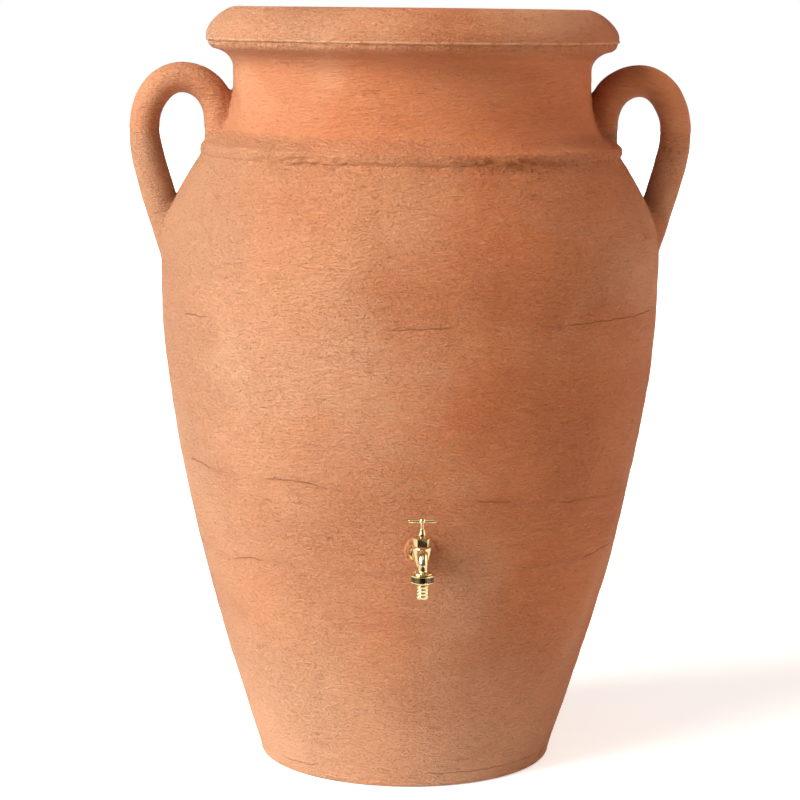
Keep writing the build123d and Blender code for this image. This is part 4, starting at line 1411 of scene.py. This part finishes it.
    def union_nut(self) -> None:
        """Model the knurled union nut with its thin lips."""
        sides, tooth = 240, 6
        crest, valley = 16.0, 15.3
        low, high = -28.3, -21.3
        rings = [(8.9, -32.2), (12.9, -32.2), (13.4, -32.0), (15.6, -29.9), (15.9, -29.6), (16.0, -29.2),
                 (16.0, -28.9), (16.0, -28.2), (16.0, -21.4), (16.0, -20.7), (16.0, -20.2), (16.8, -20.2),
                 (17.0, -20.0), (17.0, -19.0), (16.8, -18.8), (13.1, -18.8), (12.7, -19.2)]
        rings += [(12.7, -30.0), (8.9, -30.0), (8.9, -32.2)]
        piece = self.turned("union_nut_grip", rings, sides, self.spout_axis())
        centre = self.spout_axis().translation
        activate(piece)
        for vertex in piece.data.vertices:
            place = vertex.co - centre
            column = round(math.atan2(place.y, place.x) / math.tau * sides) % tooth
            on_radius = abs(math.hypot(place.x, place.y) - crest * MM) < 0.05 * MM
            vertex.select = on_radius and low < place.z / MM < high and column in (0, 1, tooth - 1)
        for group in (piece.data.edges, piece.data.polygons):
            for item in group:
                item.select = False
        bpy.ops.object.mode_set(mode="EDIT")
        bpy.ops.mesh.select_mode(type="VERT")
        bpy.ops.transform.resize(value=(valley / crest, valley / crest, 1), center_override=centre)
        bpy.ops.object.mode_set(mode="OBJECT")
        finish_piece(piece, self.finishes.knurled, "union", "union_nut", 32)

    def hose_tail(self) -> None:
        """Model the barbed hose tail with rounded barbs and the collar that the nut draws up."""
        root, crest, pitch, low = 7.9, 9.0, 4.8, -53.2
        outline = [(6.2, low), (root - 0.3, low), (root, low + 0.3)]
        for barb in range(4):
            foot = low + barb * pitch
            outline += [(root, foot + 0.4), (crest - 0.2, foot + 2.9), (crest, foot + 3.3),
                        (crest, foot + 4.4), (crest - 0.15, foot + 4.7), (crest - 0.5, foot + 4.8),
                        (root, foot + 4.8)]
        outline += [(8.2, -33.8), (8.6, -33.4), (8.6, -30.0), (11.4, -30.0), (11.6, -29.8), (11.6, -27.7),
                    (11.4, -27.5), (6.4, -27.5), (6.2, -27.7), (6.2, low)]
        piece = self.turned("barbed_tail", outline, 96, self.spout_axis())
        finish_piece(piece, self.finishes.brass, "tail", "hose_tail", 32)


def dress(name: str, material: bpy.types.Material) -> None:
    """Give a carried-over CAD node its finish.

    Args:
        name: The node.
        material: Its material.
    """
    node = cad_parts[name]
    node.data.materials.clear()
    node.data.materials.append(material)
    LOG.info("node %s: %s", name, material.name)


# ---- lid --------------------------------------------------------------------------------------------


@dataclass
class Lid:
    """The drop-in lid with its turned knob. Lengths in the fields are in metres."""

    finishes: Finishes
    ledge: float = 1.106
    edge: float = 0.244
    skirt: float = 0.220
    wall: float = 0.004
    skirt_depth: float = 0.022
    top: float = LID_TOP
    flat: float = 0.034
    ribs: int = 8

    def build(self) -> None:
        """Model the lid and its knob and dress the screw and washer."""
        self.plate()
        self.knob()
        dress("knob_washer", self.finishes.steel)
        dress("knob_screw", self.finishes.steel)

    def plate(self) -> None:
        """Model the lid: a shallow dome on a locating skirt, stiffened by ribs underneath."""
        wall, ledge, top = self.wall, self.ledge, self.top
        crown = ledge + wall
        inner = self.skirt - wall
        foot = ledge - self.skirt_depth
        outline = [(0.0034, top), (self.flat - 0.001, top), (self.flat, top - 0.0001)]
        outline += curve([(self.flat, top - 0.0001), (0.10, top - 0.0018), (0.16, crown + 0.0018),
                          (self.skirt, crown)], 14)
        outline += [(0.230, crown), (0.2305, crown + 0.0004), (0.2365, crown + 0.0004), (0.237, crown),
                    (self.edge - 0.0012, crown), (self.edge - 0.0004, crown - 0.0004),
                    (self.edge, crown - 0.0012), (self.edge, ledge + 0.0005), (self.edge - 0.0005, ledge),
                    (self.skirt + 0.0008, ledge), (self.skirt, ledge - 0.0008), (self.skirt, foot + 0.002),
                    (self.skirt - 0.0008, foot + 0.0005), (self.skirt - 0.002, foot), (inner + 0.0005, foot),
                    (inner, foot + 0.0005), (inner, ledge - 0.001), (inner - 0.002, ledge)]
        outline += curve([(inner - 0.002, ledge), (0.16, ledge + 0.0016), (0.10, top - wall - 0.0018),
                          (self.flat, top - wall)], 10)
        outline += [(0.0034, top - wall), (0.0034, top)]
        piece = lathe("lid_plate", outline, 160)
        join(piece, [self.rib(number) for number in range(self.ribs)])
        finish_piece(piece, self.finishes.lid, "lid", "lid", 30)

    def rib(self, number: int) -> bpy.types.Object:
        """Return one stiffening rib.

        Args:
            number: Its place round the lid.

        Returns:
            The rib as a softened bar.
        """
        length = self.skirt - self.wall / 2 - self.flat
        low = self.ledge - 0.012
        deep = self.ledge + 0.002 - low
        deselect()
        bpy.ops.mesh.primitive_cube_add(size=1, location=(0, 0, 0))
        piece = bpy.context.object
        settle(piece, Matrix.Diagonal((length, 0.003, deep, 1)))
        apply_modifier(piece, "BEVEL", width=0.0007, segments=2, limit_method="ANGLE")
        settle(piece, Matrix.Translation((self.flat + length / 2, 0, low + deep / 2)))
        return settle(piece, Matrix.Rotation(math.tau * number / self.ribs, 4, "Z"))

    def knob(self) -> None:
        """Model the turned knob."""
        low, high = self.top, self.top + 0.024
        outline = [(0.003, low), (0.0135, low), (0.0140, low + 0.0005), (0.0138, low + 0.0012)]
        outline += curve([(0.0138, low + 0.0012), (0.0120, low + 0.004), (0.0118, low + 0.008),
                          (0.0122, low + 0.012)], 8)
        outline += curve([(0.0122, low + 0.012), (0.0135, low + 0.0152), (0.018, low + 0.0158),
                          (0.022, low + 0.016)], 8)
        outline += curve([(0.022, low + 0.016), (0.0246, low + 0.0163), (0.0246, low + 0.0207),
                          (0.022, low + 0.021)], 8)
        outline += curve([(0.022, low + 0.021), (0.017, low + 0.0231), (0.009, high), (0.0, high)], 10)
        piece = lathe("turned_knob", outline + [(0.0, low + 0.0124), (0.003, low + 0.0124), (0.003, low)], 96)
        finish_piece(piece, self.finishes.lid, "lid", "lid_knob", 35)


# ---- studio -----------------------------------------------------------------------------------------


@dataclass(frozen=True)
class Light:
    """A distant soft light.

    Azimuth is in degrees round from the front towards +X, elevation in degrees above the floor, and spread is
    the angle that the light fills in the sky, in degrees.
    """

    name: str
    azimuth: float
    elevation: float
    strength: float
    spread: float
    colour: tuple[float, float, float]


@dataclass
class Studio:
    """Pale floor, soft lights and the camera."""

    lights: tuple[Light, ...] = (Light("key", -60, 29, 5.95, 42, (1.0, 0.98, 0.93)),
                                 Light("fill", 90, 16, 1.45, 50, (1.0, 0.68, 0.46)),
                                 Light("kicker", 125, 20, 0.45, 40, (1.0, 0.84, 0.70)),
                                 Light("top", 4, 58, 0.25, 35, (1.0, 0.95, 0.88)))
    light_distance: float = 6.0
    floor_size: float = 40.0
    floor_drop: float = 0.0005
    flag_sides: tuple[float, float] = (0.65, 1.25)
    flag_back: tuple[float, float] = (-1.1, -0.75)
    sensor: float = 36.0
    white: Colour = (0.94, 0.94, 0.94, 1)
    surround: float = 0.15
    backdrop: float = 1.0
    flag: Colour = (0.035, 0.028, 0.016, 1)
    lift: float = 0.55
    lens: float = 118.4
    camera_place: tuple[float, float, float] = (-0.2258, -3.9766, 1.149)
    heading: float = -3.25
    yaw: float = 0.185
    tilt: float = 8.606
    roll: float = 0.627

    def build(self) -> None:
        """Set up the floor, the world, the lights and the camera."""
        self.floor()
        self.world()
        for light in self.lights:
            self.sun(light)
        self.camera()
        bpy.context.scene.view_settings.view_transform = "Standard"

    def floor(self) -> None:
        """Add the floor; glossy surfaces see a dark flag lying on it in front of the barrel."""
        deselect()
        bpy.ops.mesh.primitive_plane_add(size=self.floor_size, location=(0, 0, -self.floor_drop))
        floor = bpy.context.object
        floor.name = "floor"
        material = bpy.data.materials.new("floor_white")
        material.use_nodes = True
        graph = Graph(material.node_tree)
        shader = material.node_tree.nodes["Principled BSDF"]
        path = graph.add("ShaderNodeLightPath")
        across, along, _ = graph.axes(graph.add("ShaderNodeTexCoord").outputs["Object"])
        beside = graph.span(graph.math("ABSOLUTE", across), *self.flag_sides, 1.0, 0.0)
        ahead = graph.span(along, *self.flag_back, 1.0, 0.0)
        flagged = graph.times(path.outputs["Is Glossy Ray"], beside, ahead)
        graph.feed(shader.inputs["Base Color"], graph.blend(flagged, self.white, self.flag))
        shader.inputs["Roughness"].default_value = 0.9
        shader.inputs["Specular IOR Level"].default_value = 0.0
        shader.inputs["Emission Color"].default_value = (1, 1, 1, 1)
        graph.feed(shader.inputs["Emission Strength"],
                   graph.times(path.outputs["Is Camera Ray"], self.lift))
        floor.data.materials.append(material)

    def world(self) -> None:
        """Light the scene evenly from a white surround."""
        world = bpy.data.worlds.new("surround")
        bpy.context.scene.world = world
        world.use_nodes = True
        graph = Graph(world.node_tree)
        background = world.node_tree.nodes["Background"]
        seen = graph.add("ShaderNodeLightPath").outputs["Is Camera Ray"]
        graph.feed(background.inputs["Strength"], graph.span(seen, 0.0, 1.0, self.surround, self.backdrop))
        background.inputs["Color"].default_value = (1, 1, 1, 1)

    def sun(self, light: Light) -> None:
        """Add a distant soft light.

        Args:
            light: Its direction, strength, spread and colour.
        """
        data = bpy.data.lights.new(light.name, "SUN")
        data.energy, data.angle, data.color = light.strength, math.radians(light.spread), light.colour
        lamp = bpy.data.objects.new(light.name, data)
        turn, lift = math.radians(light.azimuth), math.radians(light.elevation)
        back = Vector((math.sin(turn) * math.cos(lift), -math.cos(turn) * math.cos(lift), math.sin(lift)))
        lamp.location = back * self.light_distance
        lamp.rotation_euler = (-back).to_track_quat("-Z", "Y").to_euler()
        bpy.context.scene.collection.objects.link(lamp)

    def camera(self) -> None:
        """Add the camera."""
        data = bpy.data.cameras.new("camera")
        data.lens, data.sensor_width = self.lens, self.sensor
        camera = bpy.data.objects.new("camera", data)
        bpy.context.scene.collection.objects.link(camera)
        camera.matrix_world = (Matrix.Translation(self.camera_place)
                               @ Matrix.Rotation(math.radians(self.heading + self.yaw), 4, "Z")
                               @ Matrix.Rotation(math.radians(90 - self.tilt), 4, "X")
                               @ Matrix.Rotation(math.radians(self.roll), 4, "Z"))
        bpy.context.scene.camera = camera


def main() -> None:
    """Build the object and its studio."""
    logging.basicConfig(level=logging.INFO, format="%(name)s: %(message)s")
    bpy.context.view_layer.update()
    Studio().build()
    finishes = Finishes()
    Barrel(finishes).build()
    Tap(finishes).build()
    Lid(finishes).build()
    deselect()


if __name__ == "__main__":
    main()
